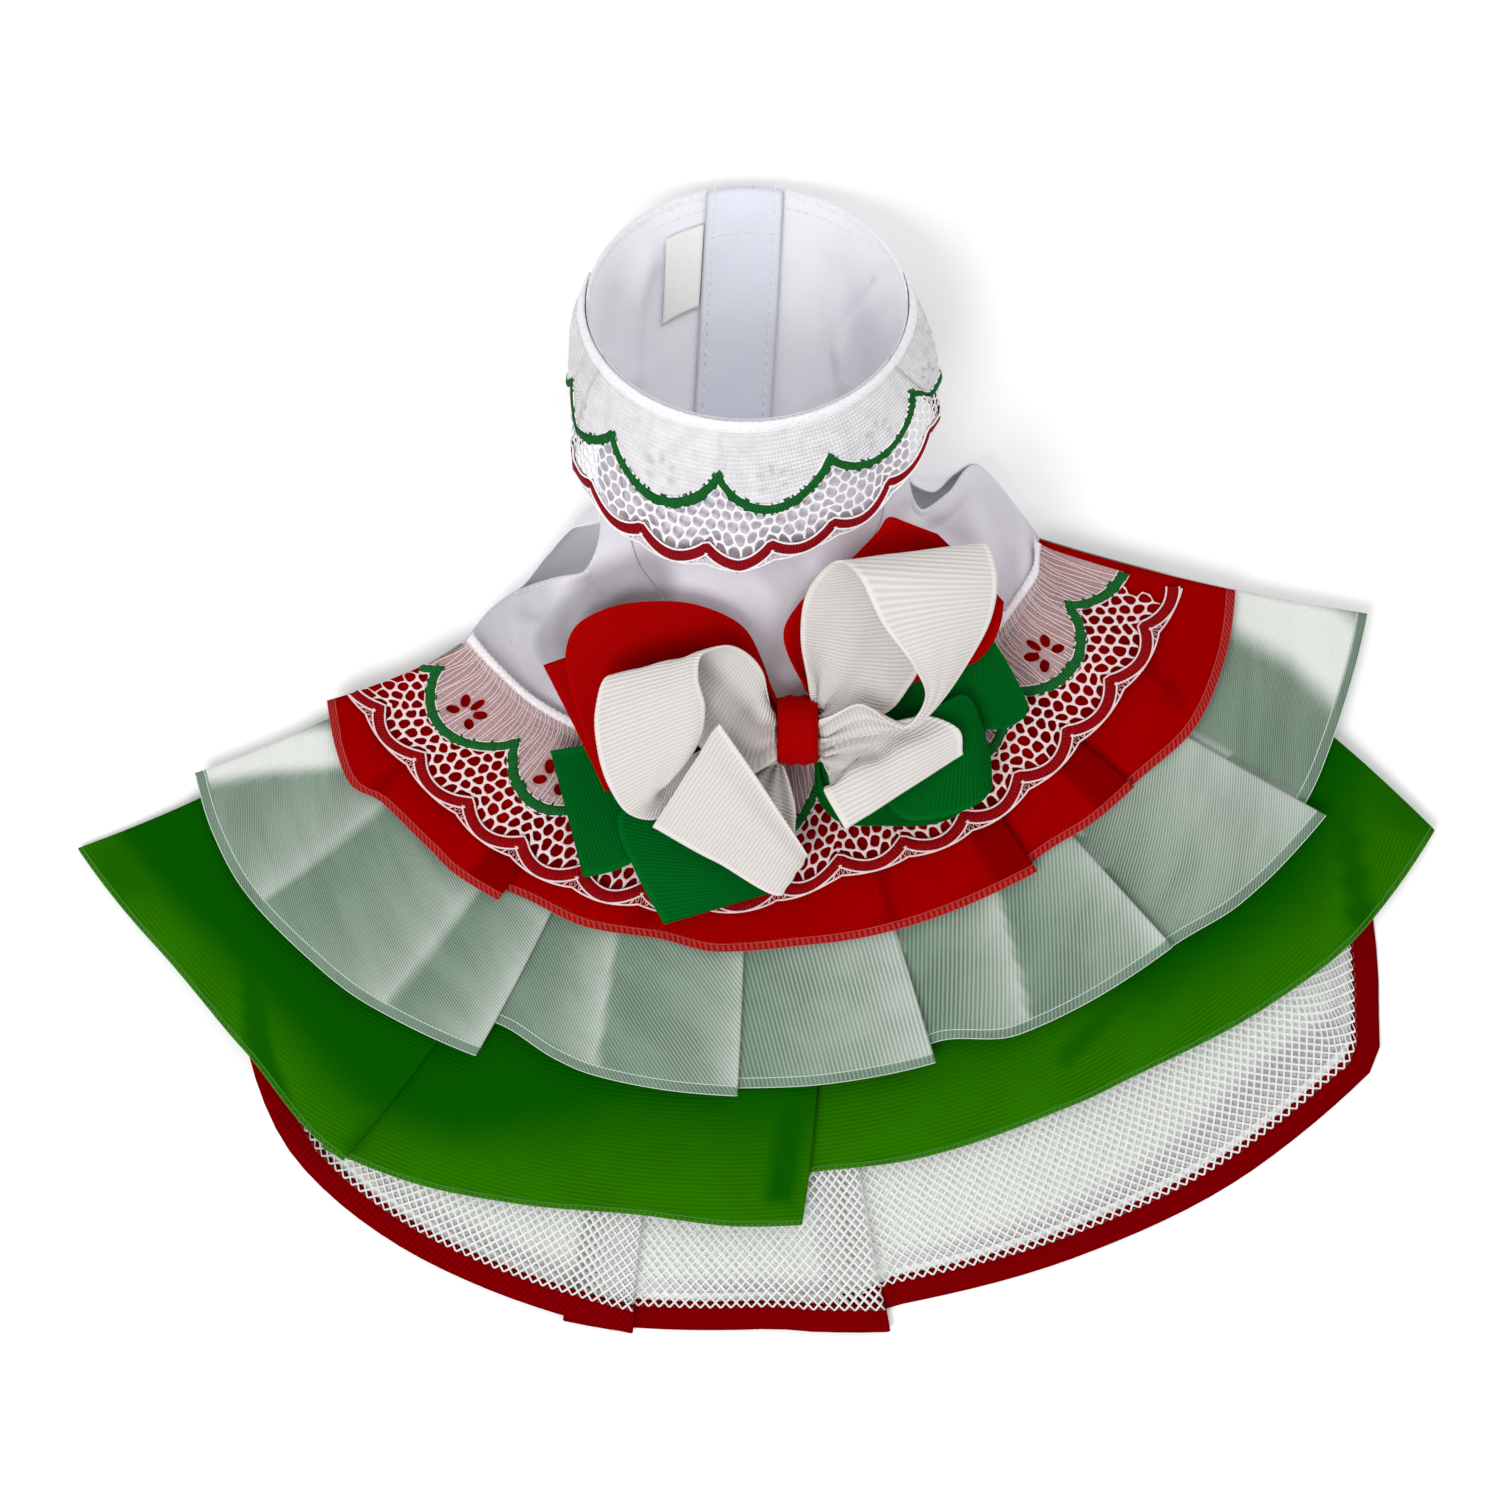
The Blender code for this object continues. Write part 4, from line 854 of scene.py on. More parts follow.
def section_points(a, back):
    """Each section's points at the shares a of the way across, for the back or for the belly side."""
    rows = []
    arch = np.sin(np.pi * a)
    for index, (back_side, belly_side, (full, flat)) in enumerate(SECTIONS):
        if back and index == 0:
            angle = WAIST_ENDS[0] + (WAIST_ENDS[1] - WAIST_ENDS[0]) * a
            flat_seam = fan_points(angle, waist_radius(angle) - SEAM / 2)
            rows.append(np.column_stack([flat_seam, layer_height("lace", angle) - STACK]))
            continue
        left, middle, right = (np.array(p, float) for p in (back_side if back else belly_side))
        centre, half = (left + right) / 2, (right - left) / 2
        points = centre[None, :] - half[None, :] * np.cos(np.pi * a)[:, None]
        if back:
            points = points + (middle - centre)[None, :] * (arch**full)[:, None]
        else:
            sink = 1 - np.maximum(0, 1 - arch / flat) ** (1.6 if flat < 1 else 1.0)
            points[:, :2] += (middle - centre)[None, :2] * arch[:, None]
            points[:, 2] = points[:, 2] * (1 - sink) + middle[2] * sink
        rows.append(points)
    return np.array(rows)


def body_points(sections, a, back):
    """Points of the bodice's wall: a row for each section number, a column for each share across."""
    sections = np.asarray(sections, float)
    a = np.asarray(a, float)
    if a.ndim == 1:
        a = np.tile(a, (len(sections), 1))
    points = np.empty(a.shape + (3,))
    for i, at in enumerate(sections):
        points[i] = glide(range(len(SECTIONS)), section_points(a[i], back), [at])[0]
    for section, across, along, wide, turn, depth in BACK_FOLDS if back else CHEST_FOLDS:
        off = (sections[:, None] - section) / along
        middle = across + turn * off
        amount = depth * np.exp(-off**2 * 2) * np.exp(-(((a - middle) / wide) ** 2))
        edge = np.clip(np.minimum(a, 1 - a) / 0.06, 0, 1) * soft_step(sections[:, None] / 0.8)
        edge = edge * soft_step((7 - sections[:, None]) / 0.7)
        points[..., 2] += amount * edge
    if not back:
        points[..., 2] = np.maximum(points[..., 2], CLOTH / 2)
    return points


def normals_of(points):
    """Normal at each point of a grid, on the side that its rows and columns give."""
    normal = np.cross(np.gradient(points, axis=1), np.gradient(points, axis=0))
    return normal / np.maximum(np.linalg.norm(normal, axis=2, keepdims=True), 1e-9)


def upward_normals(points):
    normal = normals_of(points)
    normal[normal[..., 2] < 0] *= -1
    return normal


def outward_normals(points, axis):
    """Normals of a grid that point away from the middle of each row."""
    normal = normals_of(points)
    inside = ((points - axis[:, None, :]) * normal).sum(axis=2) < 0
    normal[inside] *= -1
    return normal


def panel_shares(sections, low, high, count, low_gap, high_gap, back):
    """Shares across a panel between two seams, each drawn in by its half of the seam gap."""
    across = body_points(sections, np.linspace(0.02, 0.98, 25), back)
    width = np.linalg.norm(np.diff(across, axis=1), axis=2).sum(axis=1)
    low = np.asarray(low) + low_gap / width
    high = np.asarray(high) - high_gap / width
    return low[:, None] + (high - low)[:, None] * np.linspace(0, 1, count)[None, :]


def placket_middle(sections):
    knots, xs = zip(*PLACKET_LINE)
    return glide(knots, xs, sections)


def share_at(sections, xs):
    """The share of the way across the belly side at which each section reaches a given x."""
    trial = np.linspace(0, 1, 201)
    points = body_points(sections, trial, back=False)
    return np.array([np.interp(x, row[:, 0], trial) for x, row in zip(xs, points)])


def strip_on_chest(sections, left, right, count, lift):
    """Points of a strip that lies inside the belly side, between two lines of x."""
    low, high = share_at(sections, left), share_at(sections, right)
    a = low[:, None] + (high - low)[:, None] * np.linspace(0, 1, count)[None, :]
    points = body_points(sections, a, back=False)
    return points + upward_normals(points) * lift


def scallops(along):
    """How far the lace's edge stands out, from point to point of its scallops."""
    return SCALLOP_DEPTH * (np.abs(np.sin(np.pi * along / SCALLOP)) ** 0.8 - 0.6)


def lace_top(angles):
    """The two rows of the lace that lie on the bodice's edge, made from its points and moved out."""
    turned = np.interp(angles, [angles.min(), angles.max()], LACE_WAIST)
    across = (turned - WAIST_ENDS[0]) / (WAIST_ENDS[1] - WAIST_ENDS[0])
    wall = body_points(np.array([LACE_LAP, LACE_LAP / 4]), across, back=True)
    return wall + np.array([0, 0, STACK * 1.5])


def bow_lift(y):
    """How far the back's slope lifts the bow at this distance up the back."""
    past = y + KNOT[1] - 4
    return BOW_LEAN * (past + np.sqrt(past**2 + 100))


def ribbon_points(name, length_steps, width_steps):
    table = np.array([[*edge, *other, bulge] for edge, other, bulge in RIBBONS[name]], float)
    along = run_of((table[:, 0:3] + table[:, 3:6]) / 2)
    at = np.linspace(0, along[-1], length_steps + 1)
    read = through(along, table, at)
    share = np.linspace(0, 1, width_steps + 1)
    edge, other, bulge = read[:, None, 0:3], read[:, None, 3:6], read[:, 6:7]
    points = edge * (1 - share)[None, :, None] + other * share[None, :, None]
    points[..., 2] += bulge * 4 * (share * (1 - share))[None, :]
    if name in PINCHED:
        near = np.exp(-at / PINCH_REACH * 2)
        if "loop" in name:
            near = near + np.exp(-(along[-1] - at) / PINCH_REACH * 2)
        points[..., 2] += PINCH_DEPTH * near[:, None] * np.sin(2 * np.pi * 1.5 * share)[None, :]
    points[..., 2] += bow_lift(points[..., 1])
    points[..., :2] += KNOT
    return points


class Cut:
    """Points, pattern spots, tones and faces of one piece, gathered before its mesh is made."""

    def __init__(self):
        self.points, self.spots, self.tones, self.faces, self.finish = [], [], [], [], []
        self.count = 0

    def grid(self, points, spots, finish=0, flip=False, tones=None, keep=None):
        """A grid of quads. Spots are millimetres along and down the cloth, and tones run from 0 to 1."""
        rows, columns = points.shape[:2]
        index = np.arange(rows * columns).reshape(rows, columns) + self.count
        quads = np.stack([index[:-1, :-1], index[1:, :-1], index[1:, 1:], index[:-1, 1:]], axis=-1)
        quads = quads.reshape(-1, 4)
        if keep is not None:
            quads = quads[keep.reshape(-1)]
        if flip:
            quads = quads[:, ::-1]
        self.add(points.reshape(-1, 3), spots.reshape(-1, 2), tones, quads, finish)

    def add(self, points, spots, tones, faces, finish):
        self.points.append(points)
        self.spots.append(spots)
        self.tones.append(np.zeros(len(points)) if tones is None else np.asarray(tones, float).reshape(-1))
        self.faces.append(faces)
        self.finish += [finish] * len(faces)
        self.count += len(points)

    def sew(self, name, looks, wall=0.0, merge=0.0):
        """The gathered cut as one object at the origin, with its pattern as UVs in metres."""
        points = (np.concatenate(self.points) + np.array([*ROW_SHIFT, 0])) * MM
        spots = np.concatenate(self.spots) * MM
        tones = np.concatenate(self.tones)
        faces = np.concatenate(self.faces)
        used = np.unique(faces)
        renumber = np.zeros(len(points), int)
        renumber[used] = np.arange(len(used))
        mesh = bpy.data.meshes.new(name)
        mesh.from_pydata(points[used].tolist(), [], renumber[faces].tolist())
        for look in looks:
            mesh.materials.append(look)
        mesh.polygons.foreach_set("material_index", self.finish)
        layer = mesh.uv_layers.new(name="Cloth")
        corners = np.empty(len(mesh.loops), int)
        mesh.loops.foreach_get("vertex_index", corners)
        layer.data.foreach_set("uv", spots[used][corners].ravel())
        tone = mesh.attributes.new("tone", "FLOAT", "POINT")
        tone.data.foreach_set("value", tones[used])
        mesh.shade_smooth()
        piece = bpy.data.objects.new(name, mesh)
        bpy.context.scene.collection.objects.link(piece)
        if merge:
            weld = piece.modifiers.new("Joined threads", "WELD")
            weld.merge_threshold = merge * MM
        if wall:
            solid = piece.modifiers.new("Cloth wall", "SOLIDIFY")
            solid.thickness = wall
            solid.offset = 0
        return piece


def spots_of(points):
    """Millimetres along and down a grid of points, measured on it."""
    along, down = depths_of(points.transpose(1, 0, 2)).T, depths_of(points)
    middle = along[:, along.shape[1] // 2][:, None]
    return np.stack([along - middle, down], axis=-1)


def flat_size(points):
    """Mean width and length of a grid of points laid flat, in metres."""
    spots = spots_of(points)
    width = (spots[:, -1, 0] - spots[:, 0, 0]).mean()
    return width * MM, spots[-1, :, 1].mean() * MM


def one_grid(name, look, wall, points, spots=None, tones=None, flip=False):
    """One grid of cloth as one object."""
    cut = Cut()
    cut.grid(points, spots_of(points) if spots is None else spots, flip=flip, tones=tones)
    return cut.sew(name, [look], wall)


def hand_in(piece, node, flat=None):
    """The piece rides on the dress and stands for its solid, which it hides."""
    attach(piece, "root")
    if node:
        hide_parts(node)
    return piece


class Drape:
    """The ground that a trim lies on: places in millimetres along and down it, and the way out at each."""

    def __init__(self, along, rows, first, last, lead=0.0):
        self.along, self.rows, self.first, self.last, self.lead = along, rows, first, last, lead
        self.out = normals_of(rows)
        if self.out[..., 2].mean() < 0:
            self.out = -self.out

    def at(self, u, v, lift=0.0):
        u, v = np.broadcast_arrays(np.asarray(u, float), np.asarray(v, float))
        column = np.interp(u, self.along, np.arange(len(self.along)))
        row = np.clip((v - self.first) / (self.last - self.first), 0, 1) * (len(self.rows) - 1)
        j = np.minimum(column.astype(int), len(self.along) - 2)
        i = np.minimum(row.astype(int), len(self.rows) - 2)
        x, y = (column - j)[..., None], (row - i)[..., None]

        def read(field):
            upper = field[i, j] * (1 - x) + field[i, j + 1] * x
            return upper * (1 - y) + (field[i + 1, j] * (1 - x) + field[i + 1, j + 1] * x) * y

        return read(self.rows) + read(self.out) * np.asarray(lift, float)[..., None]


def evened(points, steps, reach=None):
    """The grid's columns at even steps of length from its first row, over a reach or to their ends."""
    down = depths_of(points)
    rows = np.empty((steps + 1, points.shape[1], 3))
    for column in range(points.shape[1]):
        at = np.linspace(0, down[-1, column] if reach is None else reach[column], steps + 1)
        for axis in range(3):
            rows[:, column, axis] = np.interp(at, down[:, column], points[:, column, axis])
    return rows


def uneven(i, j):
    """A steady number from -0.5 to 0.5 for each crossing of a mesh, so that no two meshes are alike."""
    mixed = np.sin(np.asarray(i) * 12.9898 + np.asarray(j) * 78.233) * 43758.5453
    return mixed - np.floor(mixed) - 0.5


def meshes(places, heart, thread):
    """Rings of thread round the holes of a mesh. Places are the corners of each, in order."""
    middles = (places + np.roll(places, -1, axis=1)) / 2
    ring = np.stack([places, middles], axis=2).reshape(len(places), -1, 2)
    spoke = ring - heart[:, None, :]
    reach = np.linalg.norm(spoke, axis=2, keepdims=True)
    pull = np.tile([2.1, 1.0], places.shape[1])[None, :, None] * thread / 2
    inner = heart[:, None, :] + spoke * np.maximum(0.05, 1 - pull / np.maximum(reach, 1e-6))
    return ring, inner


def add_meshes(cut, drape, ring, inner, finish):
    cells, sides = ring.shape[:2]
    flat = np.concatenate([ring, inner], axis=1)
    points = drape.at(flat[..., 0], flat[..., 1]).reshape(-1, 3)
    start = np.arange(cells)[:, None] * sides * 2 + cut.count
    side = np.arange(sides)[None, :]
    after = (side + 1) % sides
    faces = np.stack([start + side, start + after, start + sides + after, start + sides + side], axis=-1)
    cut.add(points, flat.reshape(-1, 2), None, faces.reshape(-1, 4), finish)


class Lace:
    """One strip of the coloured lace on its drape, from its heading down to its scalloped edge."""

    def __init__(self, drape, start, red_from, green_from, cell, pierced):
        self.drape, self.start, self.cell, self.pierced = drape, start, cell, pierced
        self.red_from, self.green_from = red_from, green_from
        self.length = drape.along[-1]
        self.cut, self.lines, self.fine = Cut(), [], []

    def red(self, u):
        """Middle of the red line, which follows the scallops."""
        return LACE_LENGTH_DOWN + scallops(u - self.red_from) - RED_INSET

    def green(self, u):
        """Middle of the green line, which runs in pointed waves."""
        wave = np.abs(np.sin(np.pi * (u - self.green_from) / LACE_REPEAT)) ** 0.7
        return GREEN_WAVE[0] + GREEN_WAVE[1] * wave

    def petal_gap(self, u, v):
        """Millimetres from the nearest cut-out petal, negative inside it."""
        gap = np.full(np.shape(u), 99.0)
        low = GREEN_WAVE[0] + GREEN_WAVE[1] - FLOWER_RISE
        first = (self.green_from + LACE_REPEAT / 2) % LACE_REPEAT
        for heart in np.arange(first, self.length, LACE_REPEAT):
            x, y = u - heart, low - v
            for turn, long, wide, off in PETALS:
                lean = math.radians(turn)
                along = x * math.sin(lean) + y * math.cos(lean) - off
                across = x * math.cos(lean) - y * math.sin(lean)
                ellipse = np.sqrt((along / (long / 2)) ** 2 + (across / (wide / 2)) ** 2) - 1
                gap = np.minimum(gap, ellipse * wide / 2)
        return gap

    def ridges(self, v):
        """Height of the dense ground off its drape, with fine ridges along the strip."""
        return 0.25 + 0.12 * np.sin(2 * np.pi * v / 1.5)

    def ground(self):
        """The dense upper part, with flowers cut out of it; where it is not pierced, its flowers stay, sunk a
        little and darker with painted shade.
        """
        u = np.linspace(0, self.length, math.ceil(self.length / 0.85))
        share = np.linspace(0, 1, 34)
        v = self.start + (self.green(u)[None, :] - self.start) * share[:, None]
        u = np.tile(u, (len(share), 1))
        middle_u = (u[1:, 1:] + u[:-1, :-1]) / 2
        gap = self.petal_gap(u, v)
        # the tone of an uncut flower is painted shade, for the shaded poplin under its opening
        tones = soft_step(-gap / 0.8)
        if not self.pierced:
            points = self.drape.at(u, v, self.ridges(v) - 0.3 * tones)
            self.cut.grid(points, np.stack([u, v], axis=-1), 0, tones=tones * 0.8)
            return
        keep = self.petal_gap(middle_u, (v[1:, 1:] + v[:-1, :-1]) / 2) > 0
        step = 0.05
        slope_u = (self.petal_gap(u + step, v) - gap) / step
        slope_v = (self.petal_gap(u, v + step) - gap) / step
        steep = np.maximum(slope_u**2 + slope_v**2, 0.2)
        rim = np.zeros(u.shape, bool)
        for rows in (slice(None, -1), slice(1, None)):
            for columns in (slice(None, -1), slice(1, None)):
                rim[rows, columns] |= ~keep
        shift = np.where(rim, np.clip(-gap, -0.6, 0.6), 0)
        u, v = u + shift * slope_u / steep, v + shift * slope_v / steep
        points = self.drape.at(u, v, self.ridges(v))
        self.cut.grid(points, np.stack([u, v], axis=-1), 0, keep=keep)

    def open_mesh(self):
        """The open net between the green line and the scallops, made of uneven holes with six sides."""
        wide, rows = self.cell, 12
        i, j = np.meshgrid(np.arange(int(self.length / wide) - 1), np.arange(rows))
        i, j = i.ravel(), j.ravel()
        middle = 2 * i + j % 2 + 1
        corners = [(middle + a, j + b) for a, b in ((-1, 0), (0, 0), (1, 0), (1, 1), (0, 1), (-1, 1))]
        places = np.stack([self.crossing(a, b) for a, b in corners], axis=1)
        heart = places.mean(axis=1)
        keep = (heart[:, 1] > self.green(heart[:, 0]) - 0.6) & (heart[:, 0] < self.length - wide)
        closed = uneven(middle * 3, j * 7) > 0.62
        thread = THREAD * (1.15 + 0.35 * uneven(j, middle)) + closed * 0.9
        ring, inner = meshes(places[keep], heart[keep], thread[keep][:, None, None])
        add_meshes(self.cut, self.drape, ring, inner, 1)

    def crossing(self, i, j):
        """Where threads meet: in rows along the strip, which follow the scallops near its edge."""
        u = i * self.cell / 2
        point = np.where((i - j) % 2 == 1, -1, 1) * self.cell * 0.14
        rise = j * self.cell * 0.84
        follow = np.clip(1 - rise / 10, 0, 1)
        low = self.red(u) * follow + (LACE_LENGTH_DOWN - 1.5) * (1 - follow)
        inner = np.where(j > 0, 1, 0)
        shift = np.stack([uneven(i, j), uneven(j * 5, i * 3)], axis=-1) * self.cell * 0.21
        return np.stack([u, low - 1.2 - rise - point * inner], axis=-1) + shift * inner[..., None]

    def followed(self, line, step):
        """Places along a line of the strip, with its slope and the length of a slanting step at each."""
        u = np.linspace(0.3, self.length - 0.3, math.ceil(self.length / step))
        v = line(u)
        slope = np.gradient(v, u)
        return u, v, slope, np.sqrt(1 + slope**2)

    def satin(self, line, width, finish, lift):
        """A line of satin stitches, with their ragged ends."""
        u, v, slope, size = self.followed(line, 0.42)
        across = np.array([-1, -0.82, -0.3, 0.3, 0.82, 1])[:, None]
        stitch = np.arange(len(u)) // 2
        ragged = np.where(np.abs(across) > 0.9, 1.08 + 0.85 * uneven(stitch, np.round(across * 3)), 1)
        off = across * width / 2 * ragged
        dome = 0.15 + 0.55 * np.sqrt(np.clip(1 - across**2, 0, 1)) + 0 * u
        points = self.drape.at(u - slope / size * off, v + off / size, lift + dome)
        spots = np.stack(np.broadcast_arrays(run_of(np.stack([u, v], axis=1)), off), axis=-1)
        self.cut.grid(points, spots, finish)

    def cord(self, line, off, lift):
        """A line of thread that follows another at a distance."""
        u, v, slope, size = self.followed(line, 0.7)
        self.lines.append(self.drape.at(u - slope / size * off, v + off / size, lift))

    def picot(self, u):
        """The thread that runs along the lace's outermost points."""
        return LACE_LENGTH_DOWN + 1.2 + 0.3 * scallops(u - self.red_from)

    def ground_threads(self):
        """Fine threads down the ground of the see-through lace, left out over its flowers."""
        for start in np.arange(1.5, self.length - 1.5, 1.7):
            share = np.linspace(0, 1, 9)
            u = start + 1.1 * uneven(round(start * 7), 3) * share + 0.5 * np.sin(share * 5 + start)
            v = self.start + HEADING + (self.green(u) - 1.5 - self.start - HEADING) * share
            clear = self.petal_gap(u, v) > 0.2
            line = self.drape.at(u, v, 0.55)
            run = 0
            for end in range(len(u) + 1):
                if end == len(u) or not clear[end]:
                    if end - run > 1:
                        self.fine.append(line[run:end])
                    run = end + 1

    def picots(self):
        """A small three-cornered web of thread in each notch of the scallops."""
        for notch in np.arange(self.red_from % SCALLOP, self.length, SCALLOP):
            corners = notch + np.array([-2.8, -1.5, -0.8, -0.1, 0.5, 1.3, 2.2, 2.9])
            u = np.clip(corners, 0.4, self.length - 0.4)
            inner = self.red(u) + SATIN_WIDTH[1] / 2 + 0.3
            v = np.where(np.arange(len(u)) % 2 == 0, self.picot(u), inner)
            self.lines.append(self.drape.at(u, v, 0.3))

    def heading(self, drape):
        """The close, lumpy band along the seam."""
        u = np.linspace(0, drape.along[-1], math.ceil(drape.along[-1] / 0.8))
        across = np.linspace(-1, 1, 6)[:, None]
        v = self.start + HEADING / 2 + across * (HEADING / 2 + 0.25 * np.sin(u * 2.1))
        lump = 0.55 * np.sqrt(1.05 - across**2) + 0.22 * uneven(np.arange(len(u)), np.round(across * 4))
        points = drape.at(np.tile(u, (6, 1)), v, 0.35 + lump)
        self.cut.grid(points, np.stack([np.tile(u, (6, 1)), v], axis=-1), 4)

    def make(self):
        self.ground()
        self.open_mesh()
        self.satin(self.green, SATIN_WIDTH[0], 2, 0.35)
        self.satin(self.red, SATIN_WIDTH[1], 3, 0.15)
        green, red = SATIN_WIDTH[0] / 2, SATIN_WIDTH[1] / 2
        for line, off, lift in (
            (self.green, -green - 0.15, 0.5),
            (self.green, green + 0.25, 0.3),
            (self.red, -red - 0.2, 0.75),
            (self.red, red + 0.2, 0.75),
        ):
            self.cord(line, off, lift)
        self.heading(self.drape)
        self.cord(self.picot, 0, 0.6)
        self.picots()
        for v in (0.4, HEADING):
            self.cord(lambda u, v=v: np.full(len(u), self.start + v), 0, 0.55)


def add(tree, kind, settings=()):
    """One node with its settings and inputs by name or number. A socket given as a value is linked."""
    node = tree.nodes.new(kind)
    for key, value in dict(settings).items():
        if isinstance(value, bpy.types.NodeSocket):
            tree.links.new(value, node.inputs[key])
        elif isinstance(key, int) or key in node.inputs:
            node.inputs[key].default_value = value
        else:
            setattr(node, key, value)
    return node


def start_look(name, colour, roughness, **sockets):
    """A Principled finish with its fixed values on the shader's own sockets."""
    look = bpy.data.materials.new(name)
    look.use_nodes = True
    shader = look.node_tree.nodes["Principled BSDF"]
    shader.inputs["Base Color"].default_value = colour
    shader.inputs["Roughness"].default_value = roughness
    for socket, value in sockets.items():
        shader.inputs[socket.replace("_", " ")].default_value = value
    return look, look.node_tree, shader


def lines(tree, spots, period, way, distortion=0.0):
    """Even lines across the cloth, from 0 to 1, at a real distance in metres."""
    scale = math.pi / 10 / period  # a wave texture repeats ten times in pi at scale 1
    bands = {"bands_direction": way, "Scale": scale, "Distortion": distortion, "Detail": 1.0, "Vector": spots}
    return add(tree, "ShaderNodeTexWave", bands).outputs["Fac"]


def spread(tree, spots, size, low, high):
    """Soft patches of the given size in metres, read between two levels."""
    noise = add(tree, "ShaderNodeTexNoise", {"Scale": 1 / size, "Detail": 2.0, "Vector": spots})
    read = {"From Min": low, "From Max": high, "To Min": 0.0, "To Max": 1.0, "Value": noise.outputs["Fac"]}
    return add(tree, "ShaderNodeMapRange", read).outputs["Result"]


def mixed(tree, factor, first, second):
    """A colour between two, each a socket or a fixed colour."""
    return add(tree, "ShaderNodeMix", {"data_type": "RGBA", 0: factor, 6: first, 7: second}).outputs[2]


def combined(tree, operation, first, second):
    return add(tree, "ShaderNodeMath", {"operation": operation, 0: first, 1: second}).outputs[0]


def product(tree, first, second):
    return combined(tree, "MULTIPLY", first, second)


def shade(colour, amount):
    return tuple(part * amount for part in colour[:3]) + (1.0,)


def cloth_spots(tree):
    return add(tree, "ShaderNodeTexCoord").outputs["UV"]


def tone_of(tree):
    return add(tree, "ShaderNodeAttribute", {"attribute_name": "tone"}).outputs["Fac"]


def slanted(tree, spots, turn):
    """The cloth's places turned, for a pattern that slants across it."""
    return add(tree, "ShaderNodeMapping", {"Rotation": (0, 0, turn), "Vector": spots}).outputs["Vector"]


def end_look(tree, shader, colour, relief, depth):
    """The colour and the relief, of a depth in metres, on the shader."""
    tree.links.new(colour, shader.inputs["Base Color"])
    bump = add(tree, "ShaderNodeBump", {"Distance": depth, "Strength": 1.0, "Height": relief})
    tree.links.new(bump.outputs["Normal"], shader.inputs["Normal"])


def poplin(name, colour):
    """Cotton poplin, plain woven and pressed: fine, even, matt and mottled, and darker where its tone lays
    painted shade in its creases and seams.
    """
    look, tree, shader = start_look(name, colour, 0.82, Sheen_Weight=0.25, Sheen_Roughness=0.5)
    spots = cloth_spots(tree)
    body = mixed(tree, spread(tree, spots, *CLOTH_PATCHES), colour, shade(colour, 0.93))
    weave = product(tree, lines(tree, spots, POPLIN_WEAVE, "X"), lines(tree, spots, POPLIN_WEAVE, "Y"))
    end_look(tree, shader, mixed(tree, tone_of(tree), body, shade(colour, 0.45)), weave, 0.00006)
    return look


def organza(name, colour, deep, sheer, alpha, way, contrast):
    """Organza, a crisp sheer plain weave: watered lines, deeper where doubled and where its tone lays painted
    shade, frayed light at its hem.
    """
    glow = shade(colour, 1.5)
    look, tree, shader = start_look(
        name, colour, 0.6, Alpha=alpha, Sheen_Weight=0.1, Sheen_Tint=glow, Specular_IOR_Level=0.0
    )
    spots, tone = cloth_spots(tree), tone_of(tree)
    body = mixed(tree, tone, colour, deep)
    thread = lines(tree, spots, ORGANZA_RIB, way, 0.5)
    watered = product(tree, product(tree, thread, spread(tree, spots, 0.018, 0.38, 0.62)), contrast)
    lined = mixed(tree, watered, body, shade(colour, 0.4))
    fine = mixed(tree, product(tree, thread, contrast * 0.8), lined, shade(colour, 0.4))
    # its tone also lays painted shade on the green and red, and there too its ribs fade
    fine = mixed(tree, product(tree, tone, 0.85), fine, body)  # its ribs hardly show where it lies double
    hatch = product(tree, product(tree, tone, -1.0), lines(tree, spots, HEM_HATCH, "X", 0.6))
    end_look(tree, shader, mixed(tree, hatch, fine, sheer), thread, 0.00012)
    return look


def grosgrain(name, colour, rib, depth, height):
    """Grosgrain ribbon, woven over heavy ribs: even ridges, silky on top, and a smooth narrow selvedge."""
    look, tree, shader = start_look(
        name, colour, 0.6, Sheen_Weight=0.25, Sheen_Tint=shade(colour, 1.3), Specular_IOR_Level=0.01
    )
    ridge = lines(tree, cloth_spots(tree), rib, "X", 0.12)
    # the grooves between the ribs are painted shade
    grooves = mixed(tree, ridge, shade(colour, depth), colour)
    end_look(tree, shader, mixed(tree, tone_of(tree), grooves, shade(colour, 1.04)), ridge, height)
    return look


def lace_ground(name, colour, alpha):
    """Knitted lace ground: close threads in fine lines along the strip, soft and a little see-through."""
    look, tree, shader = start_look(name, colour, 0.85, Alpha=alpha, Sheen_Weight=0.2)
    spots = cloth_spots(tree)
    thread = lines(tree, spots, 0.0015, "Y", 0.9)
    cross = product(tree, lines(tree, spots, 0.0013, "X", 1.2), 0.5)
    patches = spread(tree, spots, 0.006, 0.4, 0.7)
    body = mixed(tree, product(tree, patches, 0.8), colour, shade(colour, 0.80))
    lined = mixed(tree, product(tree, thread, 0.35), body, shade(colour, 0.80))
    # a flower left uncut is darker: painted shade for the shaded poplin seen through it
    open_petal_shade = mixed(tree, product(tree, tone_of(tree), 0.6), lined, shade(colour, 0.6))
    end_look(tree, shader, open_petal_shade, combined(tree, "ADD", thread, cross), 0.0003)
    return look


def thread_look(name, colour):
    """Twisted cotton thread: round, matt and a little fuzzy."""
    look, tree, shader = start_look(name, colour, 0.8, Sheen_Weight=0.3)
    fuzz = spread(tree, add(tree, "ShaderNodeTexCoord").outputs["Object"], 0.0008, 0.3, 0.7)
    end_look(tree, shader, mixed(tree, fuzz, colour, shade(colour, 0.86)), fuzz, 0.0001)
    return look


